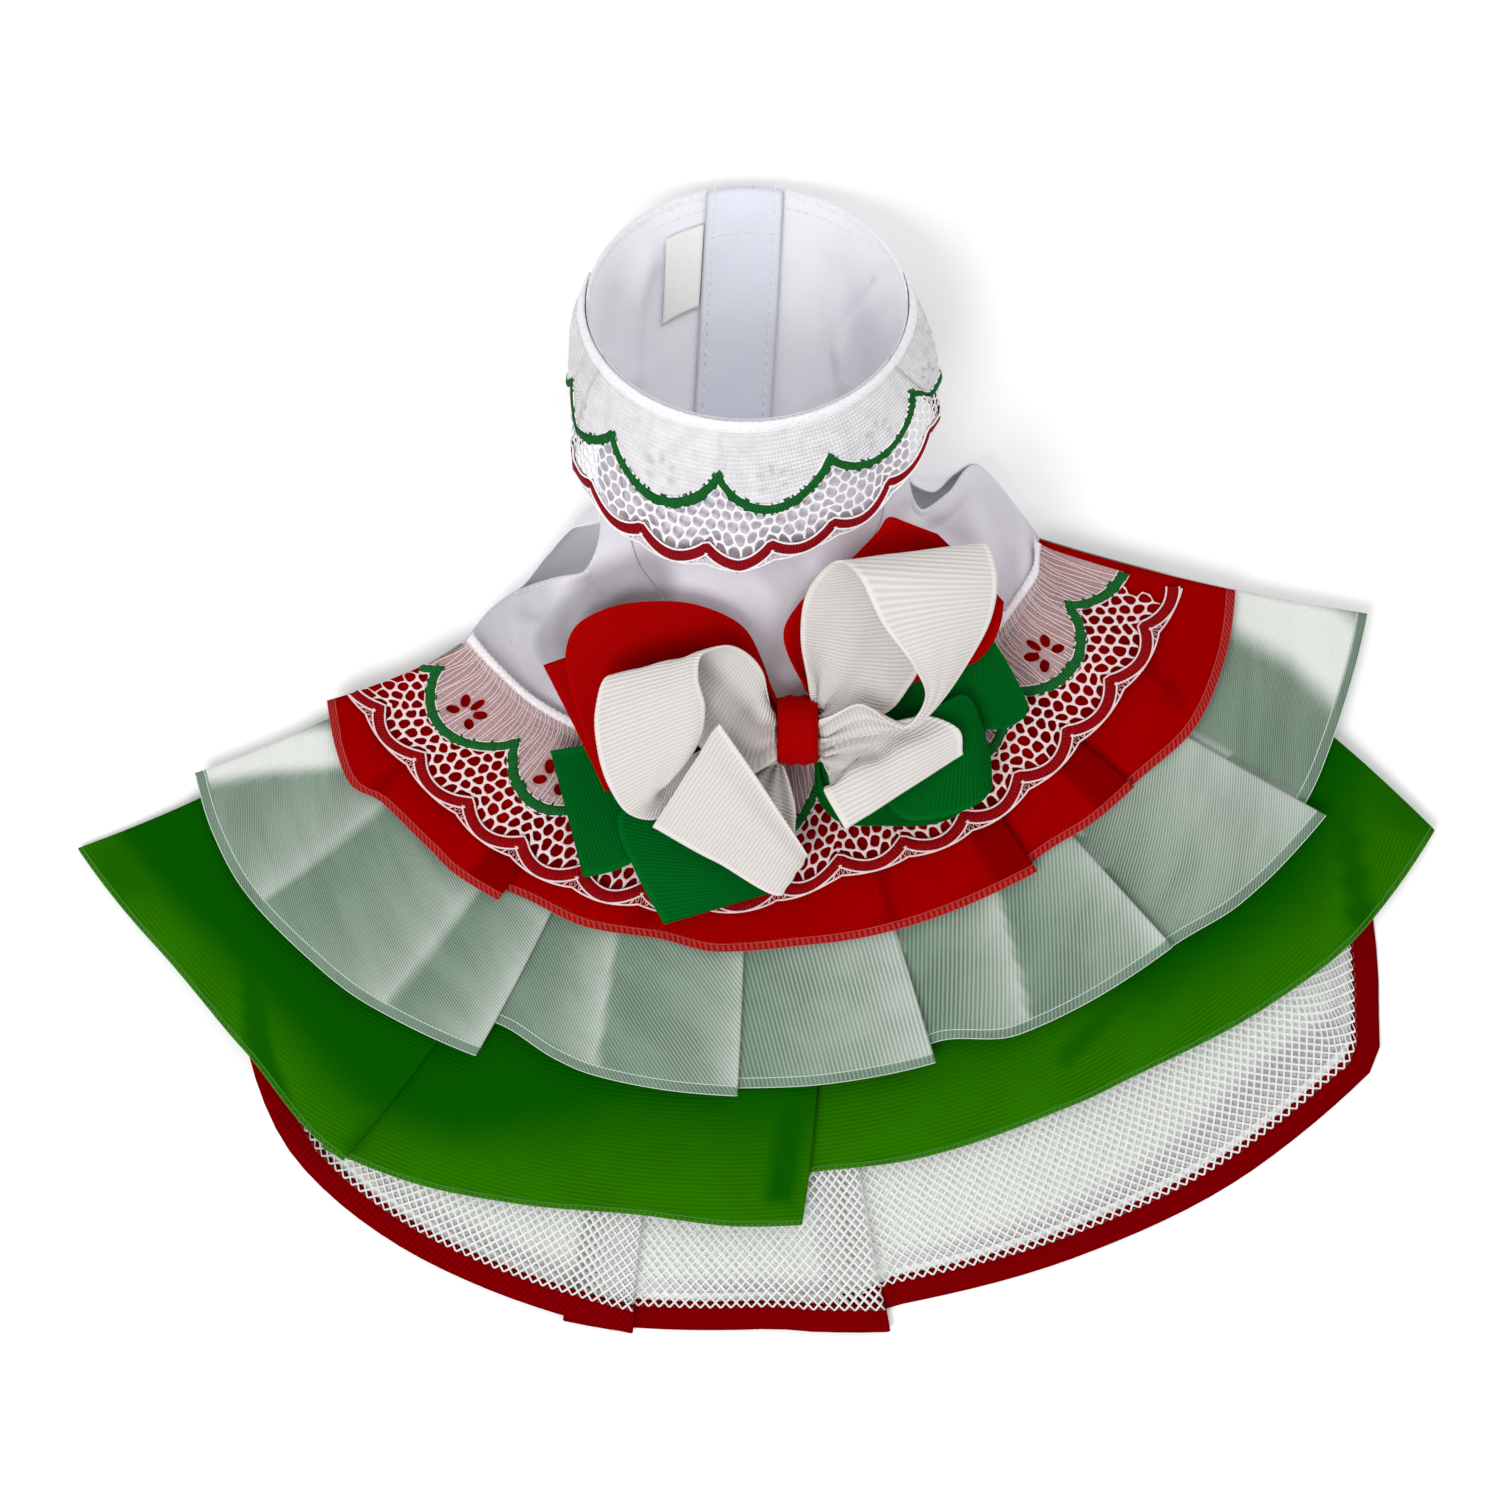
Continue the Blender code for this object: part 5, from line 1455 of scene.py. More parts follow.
def satin_look(name, colour):
    """Satin stitch in viscose thread: bright threads side by side across the line, with painted shade between
    them.
    """
    look, tree, shader = start_look(name, colour, 0.5, Specular_IOR_Level=0.06)
    spots = cloth_spots(tree)
    thread = lines(tree, spots, 0.0010, "X", 2.0)
    body = mixed(tree, spread(tree, spots, 0.0022, 0.35, 0.65), colour, shade(colour, 0.7))
    end_look(tree, shader, mixed(tree, thread, shade(colour, 0.6), body), thread, 0.00035)
    return look


def tulle(name, colour, alpha):
    """Fine tulle in several layers: a soft white haze of tiny diamonds, greyer where its tone lays painted
    shade.
    """
    look, tree, shader = start_look(name, colour, 0.9, Alpha=alpha, Sheen_Weight=0.3)
    spots = cloth_spots(tree)
    bias = [lines(tree, slanted(tree, spots, turn), 0.0017, "X", 0.3) for turn in (0.62, -0.62)]
    crossed = combined(tree, "MAXIMUM", *bias)
    body = mixed(tree, spread(tree, spots, *CLOTH_PATCHES), colour, shade(colour, 0.93))
    layers = mixed(tree, crossed, shade(colour, 0.85), body)
    end_look(tree, shader, mixed(tree, tone_of(tree), layers, shade(colour, 0.62)), crossed, 0.0003)
    return look


def binding_look(name, colour):
    """Folded binding tape, twill woven: dark, matt, with a fine slanting line."""
    look, tree, shader = start_look(name, colour, 0.8, Specular_IOR_Level=0.0)
    twill = lines(tree, slanted(tree, cloth_spots(tree), 0.8), 0.0011, "X", 0.2)
    end_look(tree, shader, mixed(tree, twill, shade(colour, 0.78), shade(colour, 1.1)), twill, 0.00012)
    return look


def label_tape(name, colour, weft_colours):
    """Woven satin tape of a label: smooth, with fine threads across it."""
    look, tree, shader = start_look(name, colour, 0.45, Sheen_Weight=0.15)
    weft = lines(tree, cloth_spots(tree), 0.0008, "Y", 0.1)
    end_look(tree, shader, mixed(tree, weft, *weft_colours), weft, 0.00005)
    return look


def start_tree(name, sizes):
    """A new Geometry Nodes tree with the given sizes in metres as its inputs."""
    tree = bpy.data.node_groups.new(name, "GeometryNodeTree")
    tree.interface.new_socket(name="Geometry", in_out="INPUT", socket_type="NodeSocketGeometry")
    for size in sizes:
        tree.interface.new_socket(name=size, in_out="INPUT", socket_type="NodeSocketFloat")
    tree.interface.new_socket(name="Geometry", in_out="OUTPUT", socket_type="NodeSocketGeometry")
    return tree, add(tree, "NodeGroupInput"), add(tree, "NodeGroupOutput")


def end_tree(tree, group_out, geometry, look):
    real = add(tree, "GeometryNodeRealizeInstances", {"Geometry": geometry})
    finished = add(tree, "GeometryNodeSetMaterial", {"Material": look, "Geometry": real.outputs[0]})
    tree.links.new(finished.outputs[0], group_out.inputs["Geometry"])
    return tree


def stitch_tree(look):
    """Stitches along lines: a rounded thread laid at each even step, turned along the line."""
    tree, group_in, group_out = start_tree("Stitches", ("Step", "Length", "Thickness"))
    given = group_in.outputs
    line = add(tree, "GeometryNodeMeshToCurve", {"Mesh": given["Geometry"]})
    even = {"mode": "LENGTH", "Curve": line.outputs[0], "Length": given["Step"]}
    steps = add(tree, "GeometryNodeResampleCurve", even)
    bead = add(tree, "GeometryNodeMeshUVSphere", {"Segments": 6, "Rings": 4, "Radius": 0.5})
    along = add(tree, "GeometryNodeInputTangent")
    turned = add(tree, "FunctionNodeAlignRotationToVector", {"axis": "Z", "Vector": along.outputs[0]})
    sizes = {"X": given["Thickness"], "Y": given["Thickness"], "Z": given["Length"]}
    laid = {
        "Points": steps.outputs[0],
        "Instance": bead.outputs["Mesh"],
        "Rotation": turned.outputs[0],
        "Scale": add(tree, "ShaderNodeCombineXYZ", sizes).outputs[0],
    }
    return end_tree(tree, group_out, add(tree, "GeometryNodeInstanceOnPoints", laid).outputs[0], look)


def cord_tree(look):
    """Round thread along lines."""
    tree, group_in, group_out = start_tree("Threads", ("Radius",))
    line = add(tree, "GeometryNodeMeshToCurve", {"Mesh": group_in.outputs["Geometry"]})
    sizes = {"Resolution": 5, "Radius": group_in.outputs["Radius"]}
    ring = add(tree, "GeometryNodeCurvePrimitiveCircle", sizes)
    swept = {"Fill Caps": True, "Curve": line.outputs[0], "Profile Curve": ring.outputs["Curve"]}
    return end_tree(tree, group_out, add(tree, "GeometryNodeCurveToMesh", swept).outputs[0], look)


def lay_thread(name, paths, tree, sizes):
    """The node tree run over paths in millimetres, as one plain mesh."""
    points = np.concatenate(paths) + np.array([*ROW_SHIFT, 0])
    edges, start = [], 0
    for path in paths:
        edges += [(start + i, start + i + 1) for i in range(len(path) - 1)]
        start += len(path)
    mesh = bpy.data.meshes.new(name)
    mesh.from_pydata((points * MM).tolist(), edges, [])
    piece = bpy.data.objects.new(name, mesh)
    bpy.context.scene.collection.objects.link(piece)
    modifier = piece.modifiers.new("Thread", "NODES")
    modifier.node_group = tree
    for item in tree.interface.items_tree:
        if item.in_out == "INPUT" and item.name in sizes:
            modifier[item.identifier] = sizes[item.name]
    ready = bpy.data.meshes.new_from_object(piece.evaluated_get(bpy.context.evaluated_depsgraph_get()))
    piece.modifiers.remove(modifier)
    piece.data = ready
    piece.data.shade_smooth()
    bpy.data.meshes.remove(mesh)
    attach(piece, "root")
    return piece


def stitched(name, rows, tree, slot, step, length, thickness):
    """Stitches along each row."""
    stitches = lay_thread(name, rows, tree, {"Step": step, "Length": length, "Thickness": thickness})
    return stitches


def row_of(points, share):
    """A line along a grid of points, at a share of the way down it."""
    at = share * (len(points) - 1)
    low = min(int(at), len(points) - 2)
    return points[low] * (1 - at + low) + points[low + 1] * (at - low)


def column_of(points, share):
    return row_of(points.transpose(1, 0, 2), share)


def ripple(layer, angle, out):
    """Soft ridges and troughs of a ruffle, uneven round the skirt, and its few long creases."""
    spot = np.radians(angle)
    rise = sum(
        height * np.sin(spot * count + turn + lean * out) for count, height, turn, lean in RIPPLES[layer]
    )
    for name, angles, radii, width, height in CREASES:
        if name == layer:
            way = np.clip((out - radii[0]) / (radii[1] - radii[0]), -0.2, 1.2)
            line = angles[0] + (angles[1] - angles[0]) * way
            off = np.radians(angle - line) * out / width
            full = soft_step((way + 0.2) / 0.3) * soft_step((1.2 - way) / 0.2)
            rise = rise + height * np.exp(-(off**2)) * full
    return rise


def fold_tones(columns, points):
    """Tone 1 where a pleat lies double: between its inner and its outer fold, on its top level."""
    turned = fan_angle(points)
    tones = np.zeros(turned.shape)
    folds = [i for i in range(len(columns)) if columns[i, 4] != 0]
    middles = [folds[i + 1] for i in range(0, len(folds), 3)]
    for first, second in zip(middles[::2], middles[1::2]):
        outer, inner = turned[:, first], turned[:, second]
        ramp = soft_step((turned - inner[:, None]) / FOLD_EDGE)
        ramp = ramp * soft_step((outer[:, None] - turned) / FOLD_EDGE + 1)
        tones = np.maximum(tones, ramp)
    return tones


def ply_tones(columns, points):
    """White organza is paler on the side of a fold where it lies double, and darker in the dip beyond, a
    painted shade.
    """
    plain, paler, darker = PLY_TONES
    turned, out = fan_angle(points), fan_reach(points)
    tones = np.full(turned.shape, plain)
    above = columns[:, 2] > 1.3
    for angles, pale, dark, pleated in PLIES:
        way = np.clip((out - PLY_START) / PLY_REACH, 0, 1.1)
        off = np.radians(turned - angles[0] - (angles[1] - angles[0]) * way) * out
        beyond = soft_step(off / PLY_EDGE + 0.5)
        if pleated:
            beyond = np.where(np.abs(off) < 3, np.where(above, 0, 1), beyond)
        near = paler * np.exp(np.minimum(off, 0) / pale) * (1 - beyond)
        tones += near - darker * np.exp(-np.maximum(off, 0) / dark) * beyond
    return tones


def shade_tones(layer, points):
    """The layer's tones from SHADES: mostly painted shade, and paler stretches on the white organza."""
    tones = np.zeros(points.shape[:-1])
    for name, line, wide, tone in SHADES:
        if name == layer:
            gap = line_gap(points, fan_points(*np.transpose(line)))
            tones = np.maximum(tones, tone * soft_step((wide - gap) / (wide * 0.6)))
    return tones


def neck_drape():
    """The neck lace's ground: off the bodice's wall, and further off towards its own edge."""
    sections = np.linspace(7, 3.6, 90)
    turn = np.linspace(0.36, 0.012, 80)
    left, right = (body_points(sections, ends, back=False) for ends in (turn, 1 - turn[::-1]))
    back = body_points(sections, np.linspace(0.012, 0.988, 220), back=True)
    wall = np.concatenate([left, back, right], axis=1)
    normal = outward_normals(wall, (wall[:, 0] + wall[:, -1]) / 2)
    down = depths_of(wall)
    along = run_of(wall[np.abs(sections - 5.67).argmin()])
    lead = along[len(turn)]
    wave = 0.5 + 0.5 * np.sin(2 * np.pi * (along - lead) / LACE_REPEAT + 0.6)
    share = np.minimum(down / LACE_LENGTH_DOWN, 1.06)
    stands_off = 0.45 + (STACK - 0.4) * soft_step(down / 12) + (1.2 + 1.6 * wave[None, :]) * share**2
    stands_off = stands_off + 0.35 * np.sin(along / 5.3 + share * 3) * share**2
    bow_out = np.sin(np.pi * np.clip(share, 0, 1) ** 0.8 * 0.88)
    columns = np.arange(len(along))
    from_side = np.minimum(columns, columns[::-1])
    stands_off += 2.6 * soft_step((len(turn) + 8 - from_side) / 16)[None, :] * soft_step(down / 6)
    for place, wide, height in FLUTES:
        stands_off = stands_off + height * np.exp(-(((along[None, :] - lead - place) / wide) ** 2)) * bow_out
    draped = wall + normal * stands_off[..., None]
    draped[..., 2] = np.maximum(draped[..., 2], 0.5)
    across = along - lead
    reach = LACE_REACH * np.interp(across / across[-1], *zip(*NECK_DROP))
    draped = evened(draped, 70, reach)
    rim, own_edge = NECK_GATHER
    for row, share in zip(draped, np.linspace(0, 1, len(draped))):
        place = columns.mean() + (columns - columns.mean()) * (rim / own_edge * (1 - share) + share)
        row[:] = np.stack([np.interp(place, columns, row[:, axis]) for axis in range(3)], axis=1)
    along = run_of(draped[-6]) / own_edge
    return Drape(along, draped, 0, LACE_REACH, np.interp(columns.mean(), columns, along))


def neck_rim():
    """The far part of the neck's rim, where only the lace's heading shows."""
    wall = body_points(np.linspace(7, 6.55, 8), np.linspace(0.03, 0.97, 160), back=False)
    rows = wall + outward_normals(wall, (wall[:, 0] + wall[:, -1]) / 2) * 0.75
    return Drape(run_of(rows[0]), rows, 0, depths_of(rows)[-1].mean())


def waist_drape():
    """The waist lace's ground: on the bodice's edge and over the top of the skirt."""
    lace = walk_hem(LACE_HEM, 0.7)
    lace[:, 1] += LACE_REACH - LACE_LENGTH_DOWN
    rows = skirt_points("lace", lace, np.linspace(0.08, 1, 40), LACE_WAIST, 20)
    turned = np.arctan2(rows[..., 1] - FAN[1], rows[..., 0] - FAN[0])
    share = np.linspace(0, 1, 40)[:, None]
    rows[..., 2] += (0.3 * np.sin(turned * 37 + 1) + 0.2 * np.sin(turned * 61)) * share
    rows = np.concatenate([lace_top(lace[:, 0]), rows])
    return Drape(run_of(rows[-1]), evened(rows, 70), WAIST_TOP, LACE_REACH)


def make_petticoat(colours, sizes, thread):
    angles = np.linspace(*LINING_ENDS, 90)
    knots, radii = zip(*sorted({row[0]: row[1] for row in NET_HEM}.items()))
    hem = glide(knots, radii, angles) - BINDING_WIDTH - 2.5
    level = np.zeros(len(angles))
    columns = np.column_stack([angles, hem, level, level, level])
    points = skirt_points("net", columns, np.linspace(0, 1, 60), LINING_WAIST, NET_DROP)
    points[..., 2] = CLOTH - 0.25
    spots = spots_of(points)
    # towards its hem, where fewer layers of tulle lie, the lining turns grey: painted shade of the table
    # under the open net
    reach = 4 + 9 * np.exp(-(((angles - 309) / 9) ** 2))
    thin_tulle_shade = soft_step((reach + 2.5 - (spots[-1:, :, 1] - spots[..., 1])) / 5)
    look = tulle("tulle_in_layers", linear("#E8EBE7"), 1.0)
    lining = one_grid("petticoat_lining_tulle", look, sizes.wall, points, spots, thin_tulle_shade)
    hand_in(lining, "petticoat_lining", flat_size(points))

    points = net_points(PETTICOAT_SPACING, 60, np.linspace(*NET_SHARES, 70))
    points[0, :, 2] += 0.9
    points[1, :, 2] += 0.55
    points[..., 2] += 0.35
    along, reach = run_of(points[0]), depths_of(points)[-1].mean()
    drape = Drape(along, evened(points, 90), 0, reach)
    half = sizes.net_cell / MM / 2
    i, j = np.meshgrid(np.arange(1, int(along[-1] / half)), np.arange(int(reach / half)))
    inside = (i + j) % 2 == 0
    i, j = i[inside], j[inside]
    corners = [(i - 1, j), (i, j + 1), (i + 1, j), (i, j - 1)]
    places = np.stack([np.stack([a * half, b * half], axis=-1) for a, b in corners], axis=1)
    cut = Cut()
    ring, inner = meshes(places, places.mean(axis=1), NET_THREAD)
    add_meshes(cut, drape, ring[:, ::2], inner[:, ::2], 0)
    net = cut.sew("petticoat_net_diamonds", [thread_look("net_monofilament_knitted", linear("#DFE1DE"))])
    width, length = flat_size(points)
    hand_in(net, "petticoat_net", (width, length))

    outline = petticoat_outline(PETTICOAT_SPACING, 40)
    edge, inward = edge_and_inward(outline)
    angle, _, lift, drop, bulge = outline.T
    rows = []
    for share in np.linspace(0, 1, 9):
        flat = edge + inward * BINDING_WIDTH * share + sideways(angle, bulge)
        dome = 0.55 * math.sqrt(max(0.0, 1 - (2 * share - 1) ** 2)) - 0.1
        rows.append(np.column_stack([flat, LAYER_HEIGHTS["net"][0] - drop + lift + dome]))
    points = np.array(rows)
    look = binding_look("binding_tape_twill", colours.binding)
    binding = one_grid("petticoat_binding_tape", look, BINDING_WALL, points, flip=True)
    seam = row_of(points, 0.82) + np.array([0, 0, 0.45])
    stitch = (thread["binding"], "binding_red", *BINDING_STITCHES)
    stitches = stitched("petticoat_binding_stitches", [seam], *stitch)
    length, width = flat_size(points)
    folded = (length, width * 2)  # the tape is folded over the edge, and its other half lies under
    hand_in(binding, "petticoat_binding", folded)


def make_ruffle(layer, colours, sizes):
    hem_table, waist_ends, drop_reach, spacing, hem, hem_tone = RUFFLES[layer]
    deep, sheer, pale, alpha, way, contrast = ORGANZA[layer]
    name, slot = "ruffle_" + layer, "organza_" + layer
    look = organza(slot + "_sheer", getattr(colours, slot), linear(deep), linear(sheer), alpha, way, contrast)
    hem_thread = cord_tree(thread_look("hem_thread_" + layer, linear(pale)))
    columns = walk_hem(hem_table, spacing)
    shares = np.concatenate([np.linspace(0, 0.4, 8), np.linspace(0.42, 0.92, 44), np.linspace(0.93, 1, 8)])
    points = skirt_points(layer, columns, shares, waist_ends, drop_reach)
    turned = fan_angle(points)
    rise = ripple(layer, turned, fan_reach(points))
    room = RIPPLE_ROOM + HEM_ROOM * soft_step((shares[:, None] - 0.84) / 0.1)
    points[..., 2] += np.clip(rise, -RIPPLE_ROOM, room) * soft_step(shares * 2)[:, None]
    spots = spots_of(points)
    from_edge = spots[-1:, :, 1] - spots[..., 1]
    tones = ply_tones(columns, points) if layer == "white" else fold_tones(columns, points) * 0.7
    # painted shade in creases and beside folds, from SHADES; on the white organza these make it paler instead
    tones = np.maximum(tones, shade_tones(layer, points))
    if layer == "green":
        # the dark binding below shows through it, and it is deeper away from its hem
        edge, inward = edge_and_inward(petticoat_outline(PETTICOAT_SPACING, 40))
        gap = line_gap(points, (edge + inward * BINDING_WIDTH / 2)[::3])
        tones = np.maximum(tones, 0.8 * soft_step((BINDING_WIDTH / 2 + 1.6 - gap) / 3.4))
        tones = np.maximum(tones, 0.92 * soft_step((from_edge - 3) / np.interp(turned, *zip(*DEEPENING))))
    tones = np.where(from_edge < hem, -hem_tone, np.clip(tones, 0, 1))
    piece = one_grid(name + "_organza", look, sizes.wall * 0.6, points, spots, tones)
    row = np.abs(spots[..., 1] - (spots[-1:, :, 1] - hem)).argmin(axis=0)
    line = points[row, np.arange(points.shape[1])] + np.array([0, 0, 0.2])
    edge_line = points[-1] + np.array([0, 0, 0.15])
    trim = lay_thread(name + "_hem_line", [line, edge_line], hem_thread, {"Radius": HEM_THREAD})
    hand_in(piece, name, flat_size(points))


def line_gap(points, line):
    """Distance over the table from each point to a line of straight stretches."""
    gap = np.full(points.shape[:-1], 1e3)
    for start, end in zip(np.array(line, float)[:-1], np.array(line, float)[1:]):
        way = end - start
        part = np.clip(((points[..., :2] - start) @ way) / max(way @ way, 1e-9), 0, 1)
        gap = np.minimum(gap, np.linalg.norm(points[..., :2] - start - part[..., None] * way, axis=-1))
    return gap


def folded_body(sections, a, back):
    """The bodice's wall with its small folds."""
    points = body_points(sections, a, back)
    normal = upward_normals(points)
    rim = np.clip(np.minimum(a, 1 - a) / 0.04, 0, 1) * soft_step((6.95 - sections[:, None]) / 0.5)
    for line, wide, height in SMALL_BACK_FOLDS if back else SMALL_CHEST_FOLDS:
        rise = height * np.exp(-((line_gap(points, line) / wide) ** 2))
        points = points + normal * (rise * rim)[..., None]
    if not back:
        points[..., 2] = np.maximum(points[..., 2], 0.3)
    return points


def seam_roll(share_across):
    """The cloth rolls down a little into a seam at the first and last of the way across."""
    near = np.minimum(share_across, 1 - share_across)
    return 0.35 * np.exp(-((near / 0.035) ** 2))


def make_bodice(colours, sizes, thread):
    sections = np.linspace(0, 7, SECTION_ROWS)
    seam = glide(*zip(*PRINCESS), sections)
    edge = np.zeros(len(sections))
    half = SEAM / 2
    stitch = (thread["white"], "poplin_white", POPLIN_STEP, sizes.stitch, POPLIN_THREAD)
    look = poplin("cotton_poplin_white", colours.poplin)
    for name, low, high, count, low_gap, high_gap in (
        ("side_left", edge, seam, 60, 0, half),
        ("back_centre", seam, 1 - seam, 90, half, half),
        ("side_right", 1 - seam, edge + 1, 60, half, 0),
    ):
        a = panel_shares(sections, low, high, count, low_gap, high_gap, back=True)
        points = folded_body(sections, a, back=True)
        across = np.linspace(0, 1, count)
        roll = seam_roll(across) * (1 if name == "back_centre" else 0.8)
        points[..., 2] -= roll[None, :] * soft_step((6.8 - sections[:, None]) / 0.5)
        # painted shade: darker along the seams, and over the shoulders and creases that SHADES lists
        at_seams = np.exp(-((np.minimum(across, 1 - across) / 0.012) ** 2)) * 0.3
        tones = np.maximum(at_seams, shade_tones("poplin", points))
        piece = one_grid(name + "_poplin", look, sizes.wall, points, tones=tones, flip=True)
        stitches = []
        if name != "back_centre":
            inner = 0.05 if name == "side_left" else 0.95
            armhole = (sections > 1.9) & (sections < 5.1)
            hemmed = column_of(points, inner)[armhole] + np.array([0, 0, 0.32])
            stitches.append(stitched(name + "_stitches", [hemmed], *stitch))
        hand_in(piece, name, flat_size(points))

    # the belly panels' inside, seen in the shade of the neck and armholes, gets a lighter poplin: painted
    # light
    look = poplin("cotton_poplin_wrong_side", linear("#F2F2F8"))
    meet = share_at(sections, placket_middle(sections) + OPENING_LINE)
    for name, low, high, low_gap, high_gap in (
        ("chest_left", edge, meet, 0, half),
        ("chest_right", meet, edge + 1, half, 0),
    ):
        a = panel_shares(sections, low, high, 70, low_gap, high_gap, back=False)
        points = folded_body(sections, a, back=False)
        piece = one_grid(name + "_poplin", look, sizes.wall, points, flip=True)
        rim = row_of(points, 1 - 3.2 / 137) + np.array([0, -0.25, 0.35])
        stitches = stitched(name + "_stitches", [rim], *stitch)
        hand_in(piece, name, flat_size(points))


def make_placket(sizes, thread):
    sections = np.linspace(0.1, 6.98, SECTION_ROWS)
    middle = placket_middle(sections)
    half = PLACKET_WIDTH / 2
    points = strip_on_chest(sections, middle - half, middle + half, 25, STACK + 0.2)
    across = np.linspace(0, 1, 25)
    # painted shade along the placket's two long edges
    tones = np.tile(np.exp(-((np.minimum(across, 1 - across) / 0.03) ** 2)) * 0.5, (len(sections), 1))
    look = poplin("cotton_poplin_faced_and_pressed", linear("#E2E4F0"))
    piece = one_grid("placket_poplin", look, sizes.wall, points, tones=tones, flip=True)
    lift = np.array([0, 0, 0.35])
    rows = [column_of(points, share) + lift for share in (0.11, 0.89)]
    rows.append(points[np.abs(sections - 6.62).argmin()][3:-3] + lift)
    stitches = stitched("placket_stitches", rows, thread["white"], "poplin_white", *PLACKET_STITCHES)
    hand_in(piece, "placket", flat_size(points))

    start, end, width = LABEL
    sections = np.linspace(start, end, 24)
    edge = placket_middle(sections) - half - SEAM - 0.1
    points = strip_on_chest(sections, edge - width, edge, 12, STACK + 0.25)
    points[..., 2] += 0.35 * np.sin(np.linspace(0, np.pi, 24))[:, None] * np.linspace(1, 0, 12)[None, :]
    look = label_tape("label_tape_woven_satin", linear("#F4F4F2"), (linear("#E9E9E6"), linear("#F6F6F4")))
    label = one_grid("care_label_tape", look, sizes.wall * 0.6, points, flip=True)
    hand_in(label, "care_label", flat_size(points))


def make_lace(name, drape, rims, run, colours, sizes, thread, alpha, red):
    lace = Lace(drape, run[0], run[1] + drape.lead, run[2] + drape.lead, sizes.lace_cell / MM, not rims)
    lace.make()
    for rim in rims:
        lace.heading(rim)
    if not rims:
        lace.ground_threads()
    white = colours.lace if rims else linear("#E9CFD0")
    looks = [
        lace_ground(name + "_ground_knitted", white, alpha),
        thread_look(name + "_thread_cotton", white),
        satin_look(name + "_green_satin_stitch", colours.green_satin),
        satin_look(name + "_red_satin_stitch", red),
        thread_look(name + "_heading_cotton", colours.lace),
    ]
    piece = lace.cut.sew(name + "_web", looks, 0.0003, merge=0.02)
    for kind, paths, thickness in (("_cords", lace.lines, 0.55), ("_ground_threads", lace.fine, 0.3)):
        if paths:
            cord = thread["lace" if rims else "lace over red"]
            lay_thread(name + kind, paths, cord, {"Radius": THREAD * thickness * MM})
    ready = piece.evaluated_get(bpy.context.evaluated_depsgraph_get()).to_mesh()
    width, length = lace.length * MM, LACE_LENGTH_DOWN * MM
    hand_in(piece, name, (width, length))


def ribbon_grid(name, length_steps):
    """A ribbon's points as its solid's, but closer together, most of all at its selvedges."""
    fine = ribbon_points(name, length_steps, 50)
    at = RIBBON_SHARES * 50
    low = np.minimum(at.astype(int), 49)
    part = (at - low)[None, :, None]
    return fine[:, low] * (1 - part) + fine[:, low + 1] * part


def pinched(points, shares, along):
    """The ribbon gathers into small folds where the knot holds it."""
    count, height, reach = PINCH_FOLDS
    from_knot = np.hypot(points[..., 0] - KNOT[0], points[..., 1] - KNOT[1])
    near = np.exp(-((np.maximum(from_knot - 6, 0) / reach) ** 1.5)) * soft_step((from_knot - 4) / 4)
    turn = 2 * np.pi * count * shares[None, :] + 0.02 * along[:, None]
    return points + normals_of(points) * (height * near * np.cos(turn))[..., None]


def make_bow(colours, sizes):
    looks = {}
    for hue, rib, depth, height in GROSGRAIN:
        colour = getattr(colours, "ribbon_" + hue)
        looks[hue] = grosgrain("grosgrain_ribbon_" + hue, colour, sizes.rib * rib, depth, height)
    for name in RIBBONS:
        hue = name.split("_")[1]
        points, shares = ribbon_grid(name, 12 * len(RIBBONS[name])), RIBBON_SHARES
        along = run_of(points[:, len(shares) // 2])
        over = np.linalg.norm(points[:, -1] - points[:, 0], axis=1)[:, None] * shares[None, :]
        lean = RIB_LEAN.get(name, (0, 0))
        lean = np.interp(along, np.linspace(0, along[-1], len(lean)), lean)
        spots = np.stack([along[:, None] + over * lean[:, None], over], axis=-1)
        points = pinched(points, shares, along)
        tones = np.tile(np.abs(shares - 0.5) > SELVEDGE, (len(points), 1))
        piece = one_grid(name + "_ribbon", looks[hue], sizes.wall * 1.2, points, spots, tones)
        hand_in(piece, name, flat_size(points))

    length, up, high = np.array(KNOT_SIZE) + np.array([0.8, 0.6, 0.4])
    turn = np.linspace(0, 2 * np.pi, 73)
    rows = np.linspace(-1, 1, 17)
    across = np.concatenate([[-1], rows, [1]])
    size = np.concatenate([[0.02], 1 - 0.10 * np.abs(rows) ** 5, [0.02]])
    ring = np.stack([0 * turn, np.cos(turn) * up / 2, np.sin(turn) * high / 2], axis=-1)
    points = ring[None] * size[:, None, None]
    pinch = 1 - 0.03 * np.cos(across * 9)[:, None] * np.cos(turn * 2)[None, :]
    points[..., 1:] *= pinch[..., None]
    points[..., 0] = across[:, None] * length / 2
    points += np.array([*KNOT, KNOT_FOOT + high / 2 + bow_lift(0.0)])
    cut = Cut()
    spots = np.broadcast_arrays(turn[None, :] * up / 2, across[:, None] * length / 2)
    cut.grid(points, np.stack(spots, axis=-1))
    knot = cut.sew("bow_knot_ribbon", [looks["red"]], 0.0, merge=0.01)
    hand_in(knot, "bow_knot")


